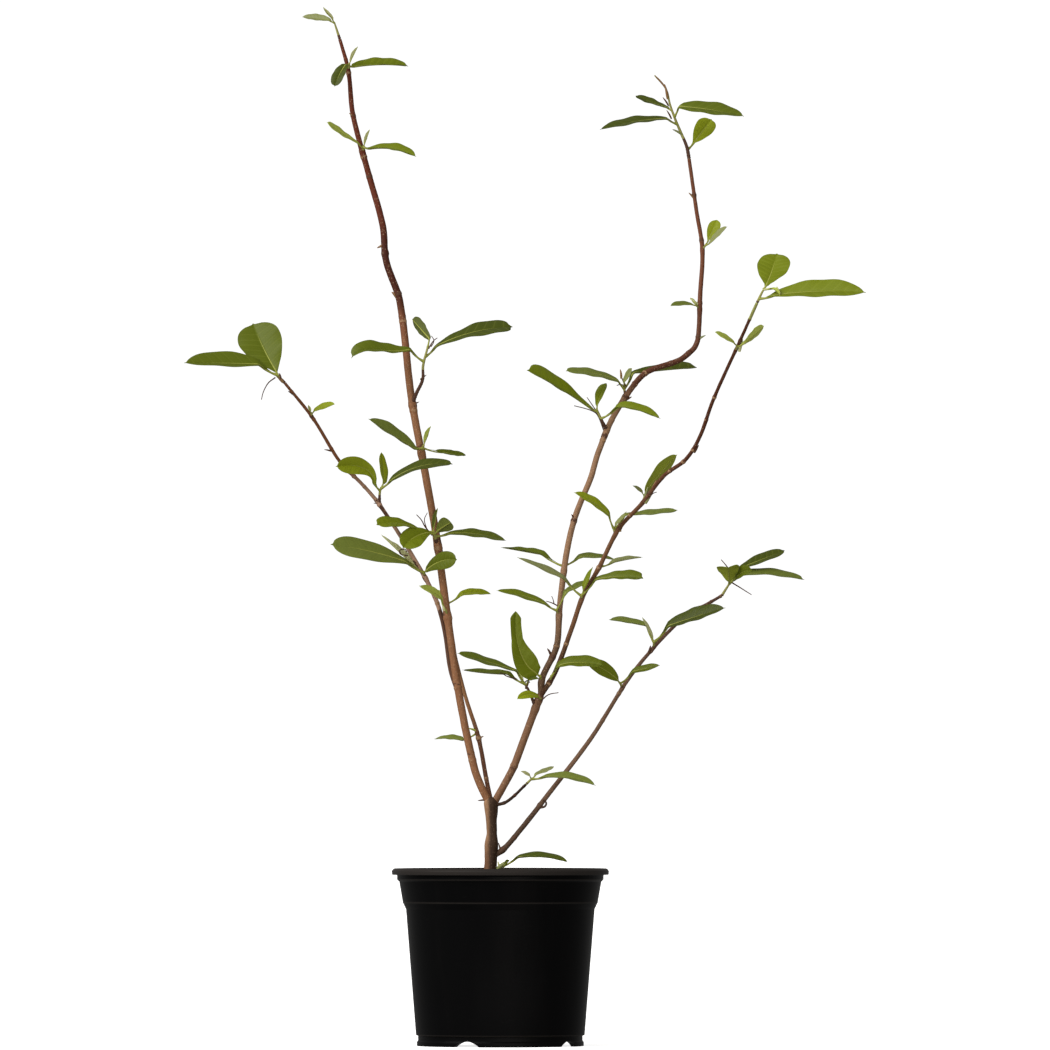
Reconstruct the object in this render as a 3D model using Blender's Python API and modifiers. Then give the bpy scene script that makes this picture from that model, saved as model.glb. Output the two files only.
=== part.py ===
"""A young magnolia in a black nursery pot, as closed solids: metres, +Z up, front towards -Y.

The origin is the middle of the pot's flat underside. The pot holds growing mix, a short trunk
stands in the mix and forks, and each limb is one tapering tube along a smooth route. Every mass
of leaves is one solid: a short spur that grows out of its limb, with leaves fused on.
Routes and leaf sizes are in millimetres, and mm() turns them into metres.
"""

import math
import random
from dataclasses import dataclass

import bmesh
import bpy
from mathutils import Quaternion, Vector
from mathutils.bvhtree import BVHTree

GAP = 0.3  # clearance between neighbouring solids, mm
WELD = 0.00005  # turned profiles are welded on the axis within this, m
TURNED_STEPS = 48  # facets round the pot and the mix

# The pot, mm: widths are across the outside, heights are from the floor.
POT_HEIGHT = 180.0
POT_WALL = 1.8
LIP_WIDTH = 220.4
LIP_DROP = 6.6  # how far the turned-down lip hangs
COLLAR_WIDTH = 209.4
COLLAR_FOOT = 168.0
BAND_WIDTH = 204.8  # the straight band under the collar
BAND_FOOT_WIDTH = 197.6
BAND_FOOT = 145.0
BODY_WIDTH = 191.2
BODY_TOP = 138.6
BODY_FOOT_WIDTH = 171.0
BODY_FOOT = 11.0
GROOVE_WIDTH = 166.8  # the groove above the foot ring
FOOT_WIDTH = 169.2
FOOT_RING = 6.2  # thickness of the foot ring
FLOOR_RISE = 6.0  # the recess inside the foot ring
FLOOR_TOP = 8.4
PAD_WIDTH = 44.0  # the flat pad in the middle of the underside
EDGE = 0.6  # rounding of the moulded edges

# Arched notches through the foot ring, as bearings in degrees from the front towards +X.
NOTCH_BEARINGS = (-24.0, 56.0, 124.0, 204.0)
NOTCH_WIDTH = 17.0
NOTCH_HEIGHT = 5.4
NOTCH_CUTTER_DEPTH = 24.0
NOTCH_CUTTER_SIDES = 32

# Growing mix, mm: its top lies under the rim and rises a little to the trunk.
MIX_TOP = 162.0
MIX_CROWN = 2.7
MIX_EDGE_DROP = 2.0  # the top slopes down this far against the wall

# How the plant is faceted.
LIMB_STEP = 26.0  # distance between a limb's stations, mm
LIMB_SIDES = 8
TRUNK_SIDES = 12
SPUR_SIDES = 6
SPUR_END = 1.2  # no stalk leaves a spur nearer than this to its tip, mm

# How every leaf is made.
BLADE_STATIONS = (0.0, 0.2, 0.45, 0.7, 0.9, 1.0)  # along the midrib, foot to tip
SMALL_BLADE_STATIONS = (0.0, 0.3, 0.7, 1.0)
SMALL_BLADE = 24.0  # a blade shorter than this takes the few stations
STALK_WIDTH = 1.7
LEAF_THICKNESS = 1.0
LEAF_SLENDERNESS = 80.0  # a long blade is at least its length over this thick
FOLD = 0.22  # how far the edges stand up, as a share of the half width
FOLD_SPREAD = 0.10
TWIST = 9.0  # most turn of a blade between its foot and its tip, degrees
MASS_REACH = 135.0  # a leaf that would reach further from its spur's foot is left out


@dataclass(frozen=True)
class Limb:
    """A tapering limb: outside widths at its foot and tip, and places on its axis, in mm."""

    name: str
    grows_from: tuple
    foot_width: float
    tip_width: float
    taper: float  # 1 is even, and more keeps the width until near the tip
    route: tuple


@dataclass(frozen=True)
class Leaf:
    """A leaf: its stalk leaves the spur `root` mm from the spur's foot, and its blade follows."""

    root: float
    stalk: tuple
    blade: tuple
    width: float
    tilt: float  # turn of the blade about its midrib, degrees from level
    arch: float  # rise of the midrib's middle over a straight line


@dataclass(frozen=True)
class LeafMass:
    """A spur that leaves its limb `along` mm from the limb's foot, with its leaves."""

    name: str
    limb: str
    along: float
    spur: tuple
    foot_width: float
    tip_width: float
    leaves: tuple


# The trunk: its outside width and the middle of the section there, mm.
TRUNK = (
    (19.5, -10, 0, 165),
    (15, -10, 0, 170.5),
    (13, -10, 0, 179.5),
    (13, -9.5, 0, 192),
    (14, -9, 0, 204),
    (10, -8.5, 0, 215),
    (11, -9, 0, 229.5),
    (14.5, -9.5, 0, 243.5),
    (14.5, -10, 0, 252.5),
)

LIMBS = (
    Limb(
        name="left_stem",
        grows_from=("trunk",),
        foot_width=7.8,
        tip_width=3.4,
        taper=5,
        route=(
            (-13, 0, 249.5),
            (-20, 0.5, 264),
            (-26.5, 1.5, 282),
            (-40.5, 3, 348),
            (-52.5, 5.5, 427),
            (-64.5, 13.5, 513.5),
            (-77, 24.5, 584.5),
            (-90.5, 39.5, 658),
            (-102.5, 59, 756.5),
            (-116.5, 65.5, 798.5),
            (-120, 72, 834.5),
            (-134, 79, 885.5),
            (-150.5, 84.5, 948),
            (-155.5, 88, 994),
            (-164.5, 92, 1027),
        ),
    ),
    Limb(
        name="left_branch",
        grows_from=("left_stem",),
        foot_width=4.9,
        tip_width=3.0,
        taper=1,
        route=(
            (-44, 4, 361),
            (-49.5, 11.5, 381.5),
            (-55.5, 14, 422),
            (-66, 12, 454.5),
            (-90.5, 4.5, 499),
            (-122.5, -9.5, 548.5),
            (-140, -19, 569),
            (-161.5, -33, 590.5),
            (-189, -59.5, 634.5),
            (-217.5, -90, 670),
        ),
    ),
    Limb(
        name="back_stem",
        grows_from=("trunk", "left_stem",),
        foot_width=4.6,
        tip_width=3.4,
        taper=1,
        route=(
            (-10, 5, 250.5),
            (-14, 11, 269),
            (-22.5, 17, 313.5),
            (-36, 22, 356),
            (-49.5, 33, 412),
            (-54, 50, 445),
        ),
    ),
    Limb(
        name="right_stem",
        grows_from=("trunk",),
        foot_width=7.4,
        tip_width=7.8,
        taper=1,
        route=(
            (-5.5, 0, 247.5),
            (7, 0.5, 270),
            (14, 1, 284),
            (23.5, 2, 309.5),
            (41.5, 4, 358),
        ),
    ),
    Limb(
        name="upper_right_stem",
        grows_from=("right_stem",),
        foot_width=6.4,
        tip_width=5.7,
        taper=1,
        route=(
            (41, 3, 354),
            (42.5, 6, 372.5),
            (57, 11, 405),
            (60, 16, 442.5),
            (67, 25.5, 498.5),
            (76, 33.5, 537),
            (92, 45, 577),
            (99.5, 53.5, 602.5),
            (114.5, 65, 638.5),
            (136.5, 74.5, 672.5),
            (150.5, 80, 686),
            (183, 86.5, 698),
            (195.5, 89.5, 708),
        ),
    ),
    Limb(
        name="upper_right_shoot",
        grows_from=("upper_right_stem",),
        foot_width=5.6,
        tip_width=3.7,
        taper=0.7,
        route=(
            (192.5, 89, 705),
            (198.5, 91, 711.5),
            (202, 93, 722),
            (204, 105, 765),
            (206.5, 119, 811.5),
            (200.5, 126, 852),
            (193, 137, 906.5),
        ),
    ),
    Limb(
        name="outer_right_stem",
        grows_from=("right_stem", "upper_right_stem",),
        foot_width=5.2,
        tip_width=3.1,
        taper=1,
        route=(
            (40.5, 3, 354),
            (55.5, -6, 378.5),
            (72, -17, 422),
            (83.5, -25, 455),
            (100, -34.5, 484.5),
            (120, -49, 523.5),
            (143, -63.5, 548.5),
            (165, -78, 576),
            (187, -91, 592.5),
            (201, -104.5, 615),
            (214, -125, 651),
            (244, -170.5, 717.5),
            (257.5, -191.5, 747.5),
        ),
    ),
    Limb(
        name="low_branch",
        grows_from=("trunk",),
        foot_width=5.6,
        tip_width=3.1,
        taper=1,
        route=(
            (-7.5, 0, 192),
            (4.5, 1, 200.5),
            (30.5, 8, 231.5),
            (46, 14.5, 251.5),
            (90.5, 34, 309.5),
            (137.5, 67, 382),
            (190.5, 94.5, 439),
            (209, 103, 448),
            (226.5, 110, 458),
        ),
    ),
    Limb(
        name="short_twig",
        grows_from=("trunk",),
        foot_width=3.6,
        tip_width=2.6,
        taper=1,
        route=(
            (-8.5, -1, 243.5),
            (6.5, -5, 247.5),
            (27, -11, 266),
        ),
    ),
)

LEAF_MASSES = (
    LeafMass(
        name="left_stem_tip_leaves",
        limb="left_stem",
        along=801,
        spur=((-5.5, 2, 17),),
        foot_width=3,
        tip_width=1.6,
        leaves=(
            Leaf(17, (-5.5, 0, 3), (-28, 10, 4), 11, -38, 0),
            Leaf(17, (-2.5, -3, 5), (-9, -8, 11), 6, 0, -0.5),
        ),
    ),
    LeafMass(
        name="left_stem_upper_leaves",
        limb="left_stem",
        along=766,
        spur=((1, -4, 8.5),),
        foot_width=3,
        tip_width=2.2,
        leaves=(
            Leaf(5.5, (5.5, 4.5, 0), (55, 16, 1), 22, 22, 2),
            Leaf(7.5, (-3.5, -5, -0.5), (-11, -14, -23), 10, -15, 1.5),
            Leaf(8, (1.5, -0.5, 4), (7, 6, 14), 6, -66, 0),
        ),
    ),
    LeafMass(
        name="left_stem_middle_leaves",
        limb="left_stem",
        along=680,
        spur=((1, -5, 8),),
        foot_width=3,
        tip_width=2.2,
        leaves=(
            Leaf(5.5, (-5, -5, 5.5), (-32, -12, 21), 15, -31, -1),
            Leaf(7.5, (6, -5, -2), (48, -17, -9), 20, 18, 4),
            Leaf(8.5, (1, 0.5, 3.5), (5, 7, 14), 6, -81, 0),
        ),
    ),
    LeafMass(
        name="left_stem_spur_leaves",
        limb="left_stem",
        along=413,
        spur=(
            (4, -7, 10.5),
            (10.5, -12, 24.5),
            (11, -14, 38.5),
            (16, -15, 58.5),
        ),
        foot_width=3.8,
        tip_width=2.2,
        leaves=(
            Leaf(48, (-14.5, -3, 12), (-59, -17, -9), 24, -32, 7),
            Leaf(53, (12, 4.5, 11.5), (77, 18, 20), 31, 26, 4.5),
            Leaf(63, (2, 3, 9), (-18, 28, 21), 15, 88, 0),
        ),
    ),
    LeafMass(
        name="left_stem_fan_leaves",
        limb="left_stem",
        along=361,
        spur=((2.5, -6, 8.5),),
        foot_width=3.2,
        tip_width=2.2,
        leaves=(
            Leaf(6.5, (-8, -5.5, -1), (-47, -18, 30), 22, -41, 0),
            Leaf(9.5, (1, -0.5, 4), (6, 10, 16), 7, -90, 0),
            Leaf(6.5, (22.5, 7.5, -4.5), (21, 14, -2), 9, 29, -0.5),
        ),
    ),
    LeafMass(
        name="left_stem_rosette",
        limb="left_stem",
        along=264,
        spur=((-2.5, -5, 8), (-4.5, -9, 15)),
        foot_width=4.4,
        tip_width=3.2,
        leaves=(
            Leaf(11.5, (15.5, 3, 3), (57, 17, -7), 23, 28, 3),
            Leaf(17, (-15.5, -7.5, 2.5), (-42, -24, 4), 18, -32, 4),
            Leaf(14.5, (-6, -6.5, 1), (-23, -22, -15), 16, -54, 3.5),
            Leaf(14, (4, -7, 3.5), (11, -24, 7), 11, -47, 0.5),
            Leaf(17, (0, -0.5, 4.5), (4, 7, 20), 8, -90, 0),
        ),
    ),
    LeafMass(
        name="left_stem_lower_leaves",
        limb="left_stem",
        along=191,
        spur=((-1.5, -6, 6.5),),
        foot_width=3,
        tip_width=2.2,
        leaves=(
            Leaf(7.5, (-5.5, -5, 13.5), (-22, -16, 12), 11, -58, 1.5),
        ),
    ),
    LeafMass(
        name="left_branch_tip_leaves",
        limb="left_branch",
        along=385,
        spur=((-8, -4, 9),),
        foot_width=3,
        tip_width=2,
        leaves=(
            Leaf(11, (-1.5, -0.5, 4), (-24, 38, 49), 42, -27, -2),
            Leaf(10, (-20, -6, 11), (-74, -17, 1), 29, -32, 0.5),
        ),
    ),
    LeafMass(
        name="left_branch_outer_leaves",
        limb="left_branch",
        along=332,
        spur=((-0.5, -5, 4.5),),
        foot_width=2.4,
        tip_width=1.8,
        leaves=(
            Leaf(4, (3, -4, 3.5), (21, -15, 6), 10, 49, 0.5),
            Leaf(5.5, (-1, -3, 2), (-2, -5, 6), 3, 14, 0),
        ),
    ),
    LeafMass(
        name="left_branch_spur_leaves",
        limb="left_branch",
        along=209,
        spur=((0.5, -4, 12.5), (2, -5, 17.5)),
        foot_width=3.2,
        tip_width=2.2,
        leaves=(
            Leaf(14.5, (-6.5, -6.5, 8), (-38, -23, 16), 18, -85, 10),
            Leaf(17, (3.5, 2.5, 7.5), (-3, 18, 30), 13, 42, -0.5),
            Leaf(17, (12, -4.5, 9.5), (61, -6, 15), 24, 26, 6),
        ),
    ),
    LeafMass(
        name="left_branch_fork_leaves",
        limb="left_branch",
        along=121,
        spur=((-0.5, -5.5, 5.5),),
        foot_width=3.2,
        tip_width=2.4,
        leaves=(
            Leaf(5.5, (-19.5, -10, 11.5), (-75, -22, 17), 30, -31, 1),
            Leaf(6.5, (2.5, -7.5, 2), (31, -28, 10), 18, 88, 4),
            Leaf(4.5, (-15, 0, 13), (-29, 17, 27), 16, 2, 0),
        ),
    ),
    LeafMass(
        name="back_stem_low_leaf",
        limb="back_stem",
        along=64,
        spur=((-3, 3.5, 5.5),),
        foot_width=2.4,
        tip_width=1.6,
        leaves=(
            Leaf(6, (-14, 2, -6.5), (-29, 9, 1), 12, -20, 1.5),
        ),
    ),
    LeafMass(
        name="back_stem_tip_leaves",
        limb="back_stem",
        along=206,
        spur=((-0.5, 4, 7.5),),
        foot_width=2.6,
        tip_width=1.8,
        leaves=(
            Leaf(5, (16, 5.5, 10), (29, 10, 0), 12, 31, 1.5),
            Leaf(7.5, (-3, 8.5, 5), (-24, 38, 10), 17, -1, 0),
        ),
    ),
    LeafMass(
        name="right_fork_low_leaf",
        limb="right_stem",
        along=113,
        spur=((2.5, -8.5, 1),),
        foot_width=2.4,
        tip_width=1.8,
        leaves=(
            Leaf(7.5, (-3, -4, 2.5), (-21, -13, -3), 9, -61, 3),
        ),
    ),
    LeafMass(
        name="right_fork_spur_leaves",
        limb="right_stem",
        along=104,
        spur=((-7, -6, 17.5), (-12, -8, 25.5)),
        foot_width=3.4,
        tip_width=2.2,
        leaves=(
            Leaf(28, (-8, -6.5, 13), (-60, -14, 18), 24, -23, 0.5),
            Leaf(28, (-17.5, 5.5, 10.5), (-46, 22, 4), 19, -15, -1),
            Leaf(26, (2.5, -4.5, 6), (11, -12, 1), 6, 47, 0),
            Leaf(28, (-2, 1.5, 4.5), (-7, 10, 16), 7, 78, 0),
        ),
    ),
    LeafMass(
        name="right_fork_tall_leaf",
        limb="upper_right_stem",
        along=16,
        spur=((-1.5, -6, 5.5),),
        foot_width=3,
        tip_width=2.2,
        leaves=(
            Leaf(7, (-5, -4, 4), (-20, -9, 62), 25, -90, -9),
        ),
    ),
    LeafMass(
        name="right_fork_side_leaf",
        limb="outer_right_stem",
        along=19,
        spur=((1.5, -7, 6),),
        foot_width=2.6,
        tip_width=2,
        leaves=(
            Leaf(8, (5, -7, 8), (51, -13, 6), 20, 18, 0.5),
        ),
    ),
    LeafMass(
        name="upper_right_low_leaves",
        limb="upper_right_stem",
        along=87,
        spur=((-3, -5, 6),),
        foot_width=2.8,
        tip_width=2,
        leaves=(
            Leaf(6.5, (-12, -5, 7), (-49, -13, 13), 20, -28, 2),
            Leaf(7, (9.5, -4, 18.5), (25, 20, 12), 13, 12, 0.5),
        ),
    ),
    LeafMass(
        name="upper_right_lower_leaves",
        limb="upper_right_stem",
        along=133,
        spur=((0.5, 5, 6.5),),
        foot_width=2.6,
        tip_width=2,
        leaves=(
            Leaf(5.5, (-23.5, 5.5, 13), (-41, 15, 7), 17, -12, 0),
            Leaf(6.5, (17, 6, 9.5), (37, 16, -4), 15, 26, 2),
        ),
    ),
    LeafMass(
        name="upper_right_spur_leaves",
        limb="upper_right_stem",
        along=289,
        spur=((-5, -7, 8.5), (-11, -10, 21.5)),
        foot_width=3.6,
        tip_width=2.4,
        leaves=(
            Leaf(23.5, (-7, -4.5, 3.5), (-65, -20, 38), 30, -35, 1.5),
            Leaf(25.5, (0.5, 1.5, 6), (8, 22, 22), 12, -10, -0.5),
            Leaf(15.5, (15.5, -11.5, 9.5), (45, -11, -10), 18, 26, 4.5),
        ),
    ),
    LeafMass(
        name="upper_right_bend_leaves",
        limb="upper_right_stem",
        along=330,
        spur=((-2.5, 2, 10),),
        foot_width=3.2,
        tip_width=2.2,
        leaves=(
            Leaf(8, (-9.5, -10.5, 12.5), (-50, -17, 5), 20, -29, 4),
            Leaf(9.5, (0, -11, 6), (8, -11, 13), 7, 90, 0),
            Leaf(8, (10, 22.5, 17), (65, 22, 6), 26, 16, 0.5),
        ),
    ),
    LeafMass(
        name="shoot_low_leaf",
        limb="upper_right_shoot",
        along=50,
        spur=((-4.5, -5, 4.5),),
        foot_width=2.4,
        tip_width=1.6,
        leaves=(
            Leaf(6.5, (-4.5, -3, 1), (-22, -13, -2), 9, -31, 1),
            Leaf(6.5, (-1, 1, 2), (-5, 7, 6), 4, 90, 0),
        ),
    ),
    LeafMass(
        name="shoot_middle_leaves",
        limb="upper_right_shoot",
        along=114,
        spur=((4, -4, 5.5),),
        foot_width=2.4,
        tip_width=1.8,
        leaves=(
            Leaf(6, (2, 2, 4), (10, 15, 23), 13, 26, -0.5),
            Leaf(6, (5, -5, 3), (17, -10, 16), 9, 54, 0.5),
        ),
    ),
    LeafMass(
        name="shoot_tip_leaves",
        limb="upper_right_shoot",
        along=211,
        spur=(
            (-2.5, 1, 12.5),
            (-9, 3, 28),
            (-15, 3, 42.5),
            (-19.5, 3, 55.5),
            (-23.5, 3, 71),
            (-35.5, 2, 85.5),
        ),
        foot_width=3.6,
        tip_width=1.4,
        leaves=(
            Leaf(9, (6, 4.5, 5.5), (19, 21, 27), 20, 39, 0),
            Leaf(45.5, (5, -7, 10.5), (66, -20, -11), 27, 32, 1.5),
            Leaf(37.5, (-10.5, -5, 5.5), (-69, -16, -12), 27, -17, 2.5),
            Leaf(52.5, (-5, 3, 3.5), (-32, 18, 13), 15, -16, -1),
        ),
    ),
    LeafMass(
        name="outer_right_low_leaves",
        limb="outer_right_stem",
        along=110,
        spur=((1, -6, 6.5),),
        foot_width=3,
        tip_width=2.2,
        leaves=(
            Leaf(5, (-18.5, -5.5, 18.5), (-47, -7, 21), 20, -18, 0),
            Leaf(7.5, (13.5, -10, 15), (48, -13, 1), 19, 33, 2.5),
            Leaf(7.5, (1.5, -5, 7), (9, -6, 21), 9, 67, 0),
        ),
    ),
    LeafMass(
        name="outer_right_lower_leaf",
        limb="outer_right_stem",
        along=147,
        spur=((5, 5, 4),),
        foot_width=2.2,
        tip_width=1.6,
        leaves=(
            Leaf(5, (13, 5, 5), (29, 16, 5), 13, 11, 0.5),
        ),
    ),
    LeafMass(
        name="outer_right_middle_leaves",
        limb="outer_right_stem",
        along=188,
        spur=((-2.5, -1, 7),),
        foot_width=3,
        tip_width=2.2,
        leaves=(
            Leaf(6.5, (-5, -8, 14), (-35, -11, 22), 16, -43, 2.5),
            Leaf(5, (12, 9.5, 15.5), (53, 19, 5), 21, 12, -1),
            Leaf(6.5, (2, -8, 4), (11, -7, 13), 7, 51, -0.5),
        ),
    ),
    LeafMass(
        name="outer_right_upper_leaves",
        limb="outer_right_stem",
        along=234,
        spur=((2, 3, 7.5),),
        foot_width=3,
        tip_width=2.2,
        leaves=(
            Leaf(7, (1, 4.5, 5.5), (32, 23, 37), 21, -66, 0.5),
            Leaf(7, (-3, -2.5, 4.5), (-9, -8, 6), 5, -69, 0),
        ),
    ),
    LeafMass(
        name="outer_right_high_leaves",
        limb="outer_right_stem",
        along=438,
        spur=((2, -9, 4),),
        foot_width=2.4,
        tip_width=1.8,
        leaves=(
            Leaf(9, (-4, -5, 4), (-19, -11, 10), 9, -45, 0.5),
            Leaf(7.5, (7, -5.5, 3.5), (20, 15, 18), 12, -58, -0.5),
        ),
    ),
    LeafMass(
        name="outer_right_tip_leaves",
        limb="outer_right_stem",
        along=499,
        spur=((4, -2, 8.5), (7, -3, 14)),
        foot_width=3,
        tip_width=1.8,
        leaves=(
            Leaf(14.5, (3, 0, 5.5), (11, 37, 32), 33, 11, -2),
            Leaf(4, (16.5, -6, 3.5), (90, -15, 2), 31, 32, 2.5),
            Leaf(14, (8.5, -4.5, 1.5), (8, -7, -8), 5, 12, 1.5),
        ),
    ),
    LeafMass(
        name="low_branch_middle_leaves",
        limb="low_branch",
        along=225,
        spur=((-2.5, -6, 6),),
        foot_width=2.8,
        tip_width=2,
        leaves=(
            Leaf(7.5, (-3.5, -6, 4.5), (-31, -25, 17), 19, -90, 2),
            Leaf(7, (13, -11.5, 12.5), (27, -10, 6), 11, 39, 0),
        ),
    ),
    LeafMass(
        name="low_branch_upper_leaves",
        limb="low_branch",
        along=281,
        spur=((0.5, -7, 6.5),),
        foot_width=3,
        tip_width=2.2,
        leaves=(
            Leaf(7, (-8, 9, 18), (-38, 14, 6), 16, -18, 0.5),
            Leaf(8.5, (-2, -2, 5.5), (-10, -6, 20), 8, -53, -0.5),
            Leaf(8.5, (15, -14, 16.5), (57, -22, 18), 24, 36, 0.5),
        ),
    ),
    LeafMass(
        name="low_branch_tip_leaves",
        limb="low_branch",
        along=376,
        spur=((6, -1, 9.5), (9, -2, 14)),
        foot_width=3,
        tip_width=2,
        leaves=(
            Leaf(14.5, (-2.5, -5.5, 2.5), (-11, -27, 9), 12, 38, 1.5),
            Leaf(15.5, (5, -6, 4), (17, -30, 8), 13, 78, 3),
            Leaf(15.5, (18.5, 4, 10.5), (58, 12, -7), 23, 16, 2),
            Leaf(15.5, (12.5, 6, 16), (44, 22, 18), 20, 21, 0),
        ),
    ),
    LeafMass(
        name="short_twig_tip_leaves",
        limb="short_twig",
        along=44,
        spur=((5.5, -2, 5.5),),
        foot_width=2.6,
        tip_width=2,
        leaves=(
            Leaf(7, (15, -3.5, 2.5), (50, -11, -9), 20, 20, 3),
            Leaf(7, (-1.5, -3.5, 4), (-9, -9, 4), 5, -56, 0),
            Leaf(7, (5, 3.5, 5), (18, 14, 8), 9, 13, -0.5),
        ),
    ),
    LeafMass(
        name="trunk_sprout_leaves",
        limb="trunk",
        along=12,
        spur=((8.5, -2, 2.5), (13, -3, 5.5)),
        foot_width=2.6,
        tip_width=1.8,
        leaves=(
            Leaf(13.5, (16, -1, 9.5), (51, -14, -5), 20, 16, 3),
            Leaf(13.5, (3, -4, 2.5), (4, -9, 4), 4, 90, 1),
        ),
    ),
)


def mm(*values):
    """Millimetres as metres: one number gives a number, three give a Vector."""
    return values[0] * 0.001 if len(values) == 1 else Vector(values) * 0.001


def clear_scene():
    for old in list(bpy.data.objects):
        bpy.data.objects.remove(old, do_unlink=True)


def collection(name):
    made = bpy.data.collections.new(name)
    bpy.context.scene.collection.children.link(made)
    return made


def finish(name, colour, roughness, metallic=0.0):
    """A plain Principled material."""
    made = bpy.data.materials.new(name)
    made.use_nodes = True
    shader = made.node_tree.nodes["Principled BSDF"]
    shader.inputs["Base Color"].default_value = (*colour, 1.0)
    shader.inputs["Roughness"].default_value = roughness
    shader.inputs["Metallic"].default_value = metallic
    return made


def place(obj, home, material, parent):
    home.objects.link(obj)
    obj.parent = parent
    obj.data.materials.clear()
    obj.data.materials.append(material)
    return obj


# Turned pieces ------------------------------------------------------------------------------


def turned(name, profile):
    """A solid of revolution about Z from (radius, height) pairs in mm that run down its outside."""
    mesh = bpy.data.meshes.new(name)
    points = [mm(radius, 0.0, height) for radius, height in profile]
    edges = [(i, i + 1) for i in range(len(points) - 1)]
    mesh.from_pydata(points, edges, [])
    obj = bpy.data.objects.new(name, mesh)
    screw = obj.modifiers.new("turn", "SCREW")
    screw.steps = screw.render_steps = TURNED_STEPS
    screw.use_merge_vertices = True
    screw.merge_threshold = WELD
    screw.use_smooth_shade = True
    return obj


def pot_profile():
    """The pot's wall from the middle of its inner floor, over the rim, to the middle of its pad."""
    lip, collar, band = LIP_WIDTH / 2, COLLAR_WIDTH / 2, BAND_WIDTH / 2
    body, body_foot, foot = BODY_WIDTH / 2, BODY_FOOT_WIDTH / 2, FOOT_WIDTH / 2
    band_foot, groove = BAND_FOOT_WIDTH / 2, GROOVE_WIDTH / 2
    under_lip = POT_HEIGHT - LIP_DROP
    inside = [
        (0.0, FLOOR_TOP),
        (groove - 2 * POT_WALL, FLOOR_TOP),
        (body_foot - POT_WALL, FLOOR_TOP + 4.0),
        (body - POT_WALL, BODY_TOP),
        (band_foot - POT_WALL, BAND_FOOT),
        (band - POT_WALL, COLLAR_FOOT),
        (collar - POT_WALL - EDGE, POT_HEIGHT - EDGE),
        (collar - POT_WALL, POT_HEIGHT),
    ]
    outside = [
        (lip - 2 * EDGE, POT_HEIGHT),
        (lip - EDGE, POT_HEIGHT - EDGE),
        (lip, under_lip + EDGE),
        (lip - EDGE, under_lip),
        (collar + EDGE, under_lip),
        (collar, under_lip - EDGE),
        (collar, COLLAR_FOOT + EDGE),
        (band, COLLAR_FOOT - 2 * EDGE),
        (band_foot, BAND_FOOT),
        (body + EDGE, BODY_TOP + 4 * EDGE),
        (body, BODY_TOP),
        (body_foot, BODY_FOOT),
        (groove, BODY_FOOT - EDGE),
        (groove, FLOOR_RISE - EDGE),
        (foot, FLOOR_RISE - 4 * EDGE),
        (foot, 0.0),
    ]
    underside = [
        (foot - FOOT_RING, 0.0),
        (foot - FOOT_RING - EDGE, FLOOR_RISE),
        (PAD_WIDTH / 2, FLOOR_RISE),
        (PAD_WIDTH / 2, 0.0),
        (0.0, 0.0),
    ]
    return inside + outside + underside


def notch_cutter(bearing, home):
    """A cylinder that lies along a radius, so low that it cuts a shallow arch in the foot ring."""
    radius = ((NOTCH_WIDTH / 2) ** 2 + NOTCH_HEIGHT**2) / (2 * NOTCH_HEIGHT)
    shape = bmesh.new()
    bmesh.ops.create_cone(
        shape,
        cap_ends=True,
        segments=NOTCH_CUTTER_SIDES,
        radius1=mm(radius),
        radius2=mm(radius),
        depth=mm(NOTCH_CUTTER_DEPTH),
    )
    mesh = bpy.data.meshes.new("foot_notch_cutter")
    shape.to_mesh(mesh)
    shape.free()
    cutter = bpy.data.objects.new("foot_notch_cutter", mesh)
    angle = math.radians(bearing - 90.0)
    reach = FOOT_WIDTH / 2 - FOOT_RING / 2
    cutter.location = mm(
        reach * math.cos(angle), reach * math.sin(angle), NOTCH_HEIGHT - radius
    )
    cutter.rotation_euler = (0.0, math.radians(90.0), angle)
    cutter.hide_render = True
    cutter.display_type = "WIRE"
    home.objects.link(cutter)
    return cutter


def make_pot(home, cutters, parent):
    pot = turned("pot", pot_profile())
    place(pot, home, finish("black_plastic", (0.012, 0.012, 0.013), 0.38), parent)
    for bearing in NOTCH_BEARINGS:
        notch = pot.modifiers.new("foot_notch", "BOOLEAN")
        notch.operation = "DIFFERENCE"
        notch.object = notch_cutter(bearing, cutters)


def make_mix(home, parent):
    """The mix fills the pot to a little under its rim, clear of the wall all round."""
    body, foot = BODY_WIDTH / 2 - POT_WALL, BODY_FOOT_WIDTH / 2 - POT_WALL
    band_foot, band = BAND_FOOT_WIDTH / 2 - POT_WALL, BAND_WIDTH / 2 - POT_WALL
    top = band_foot + (band - band_foot) * (MIX_TOP - BAND_FOOT) / (COLLAR_FOOT - BAND_FOOT)
    clear = 2 * GAP
    profile = [
        (0.0, MIX_TOP + MIX_CROWN),
        (top / 3, MIX_TOP + MIX_CROWN),
        (top - clear - 2 * MIX_EDGE_DROP, MIX_TOP),
        (top - clear, MIX_TOP - MIX_EDGE_DROP),
        (band_foot - clear, BAND_FOOT),
        (body - clear, BODY_TOP),
        (foot - clear, FLOOR_TOP + 4.0 + clear),
        (GROOVE_WIDTH / 2 - 2 * POT_WALL - clear, FLOOR_TOP + GAP),
        (0.0, FLOOR_TOP + GAP),
    ]
    mix = turned("growing_mix", profile)
    place(mix, home, finish("dark_growing_mix", (0.045, 0.030, 0.020), 0.95), parent)


# Limbs --------------------------------------------------------------------------------------


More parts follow.
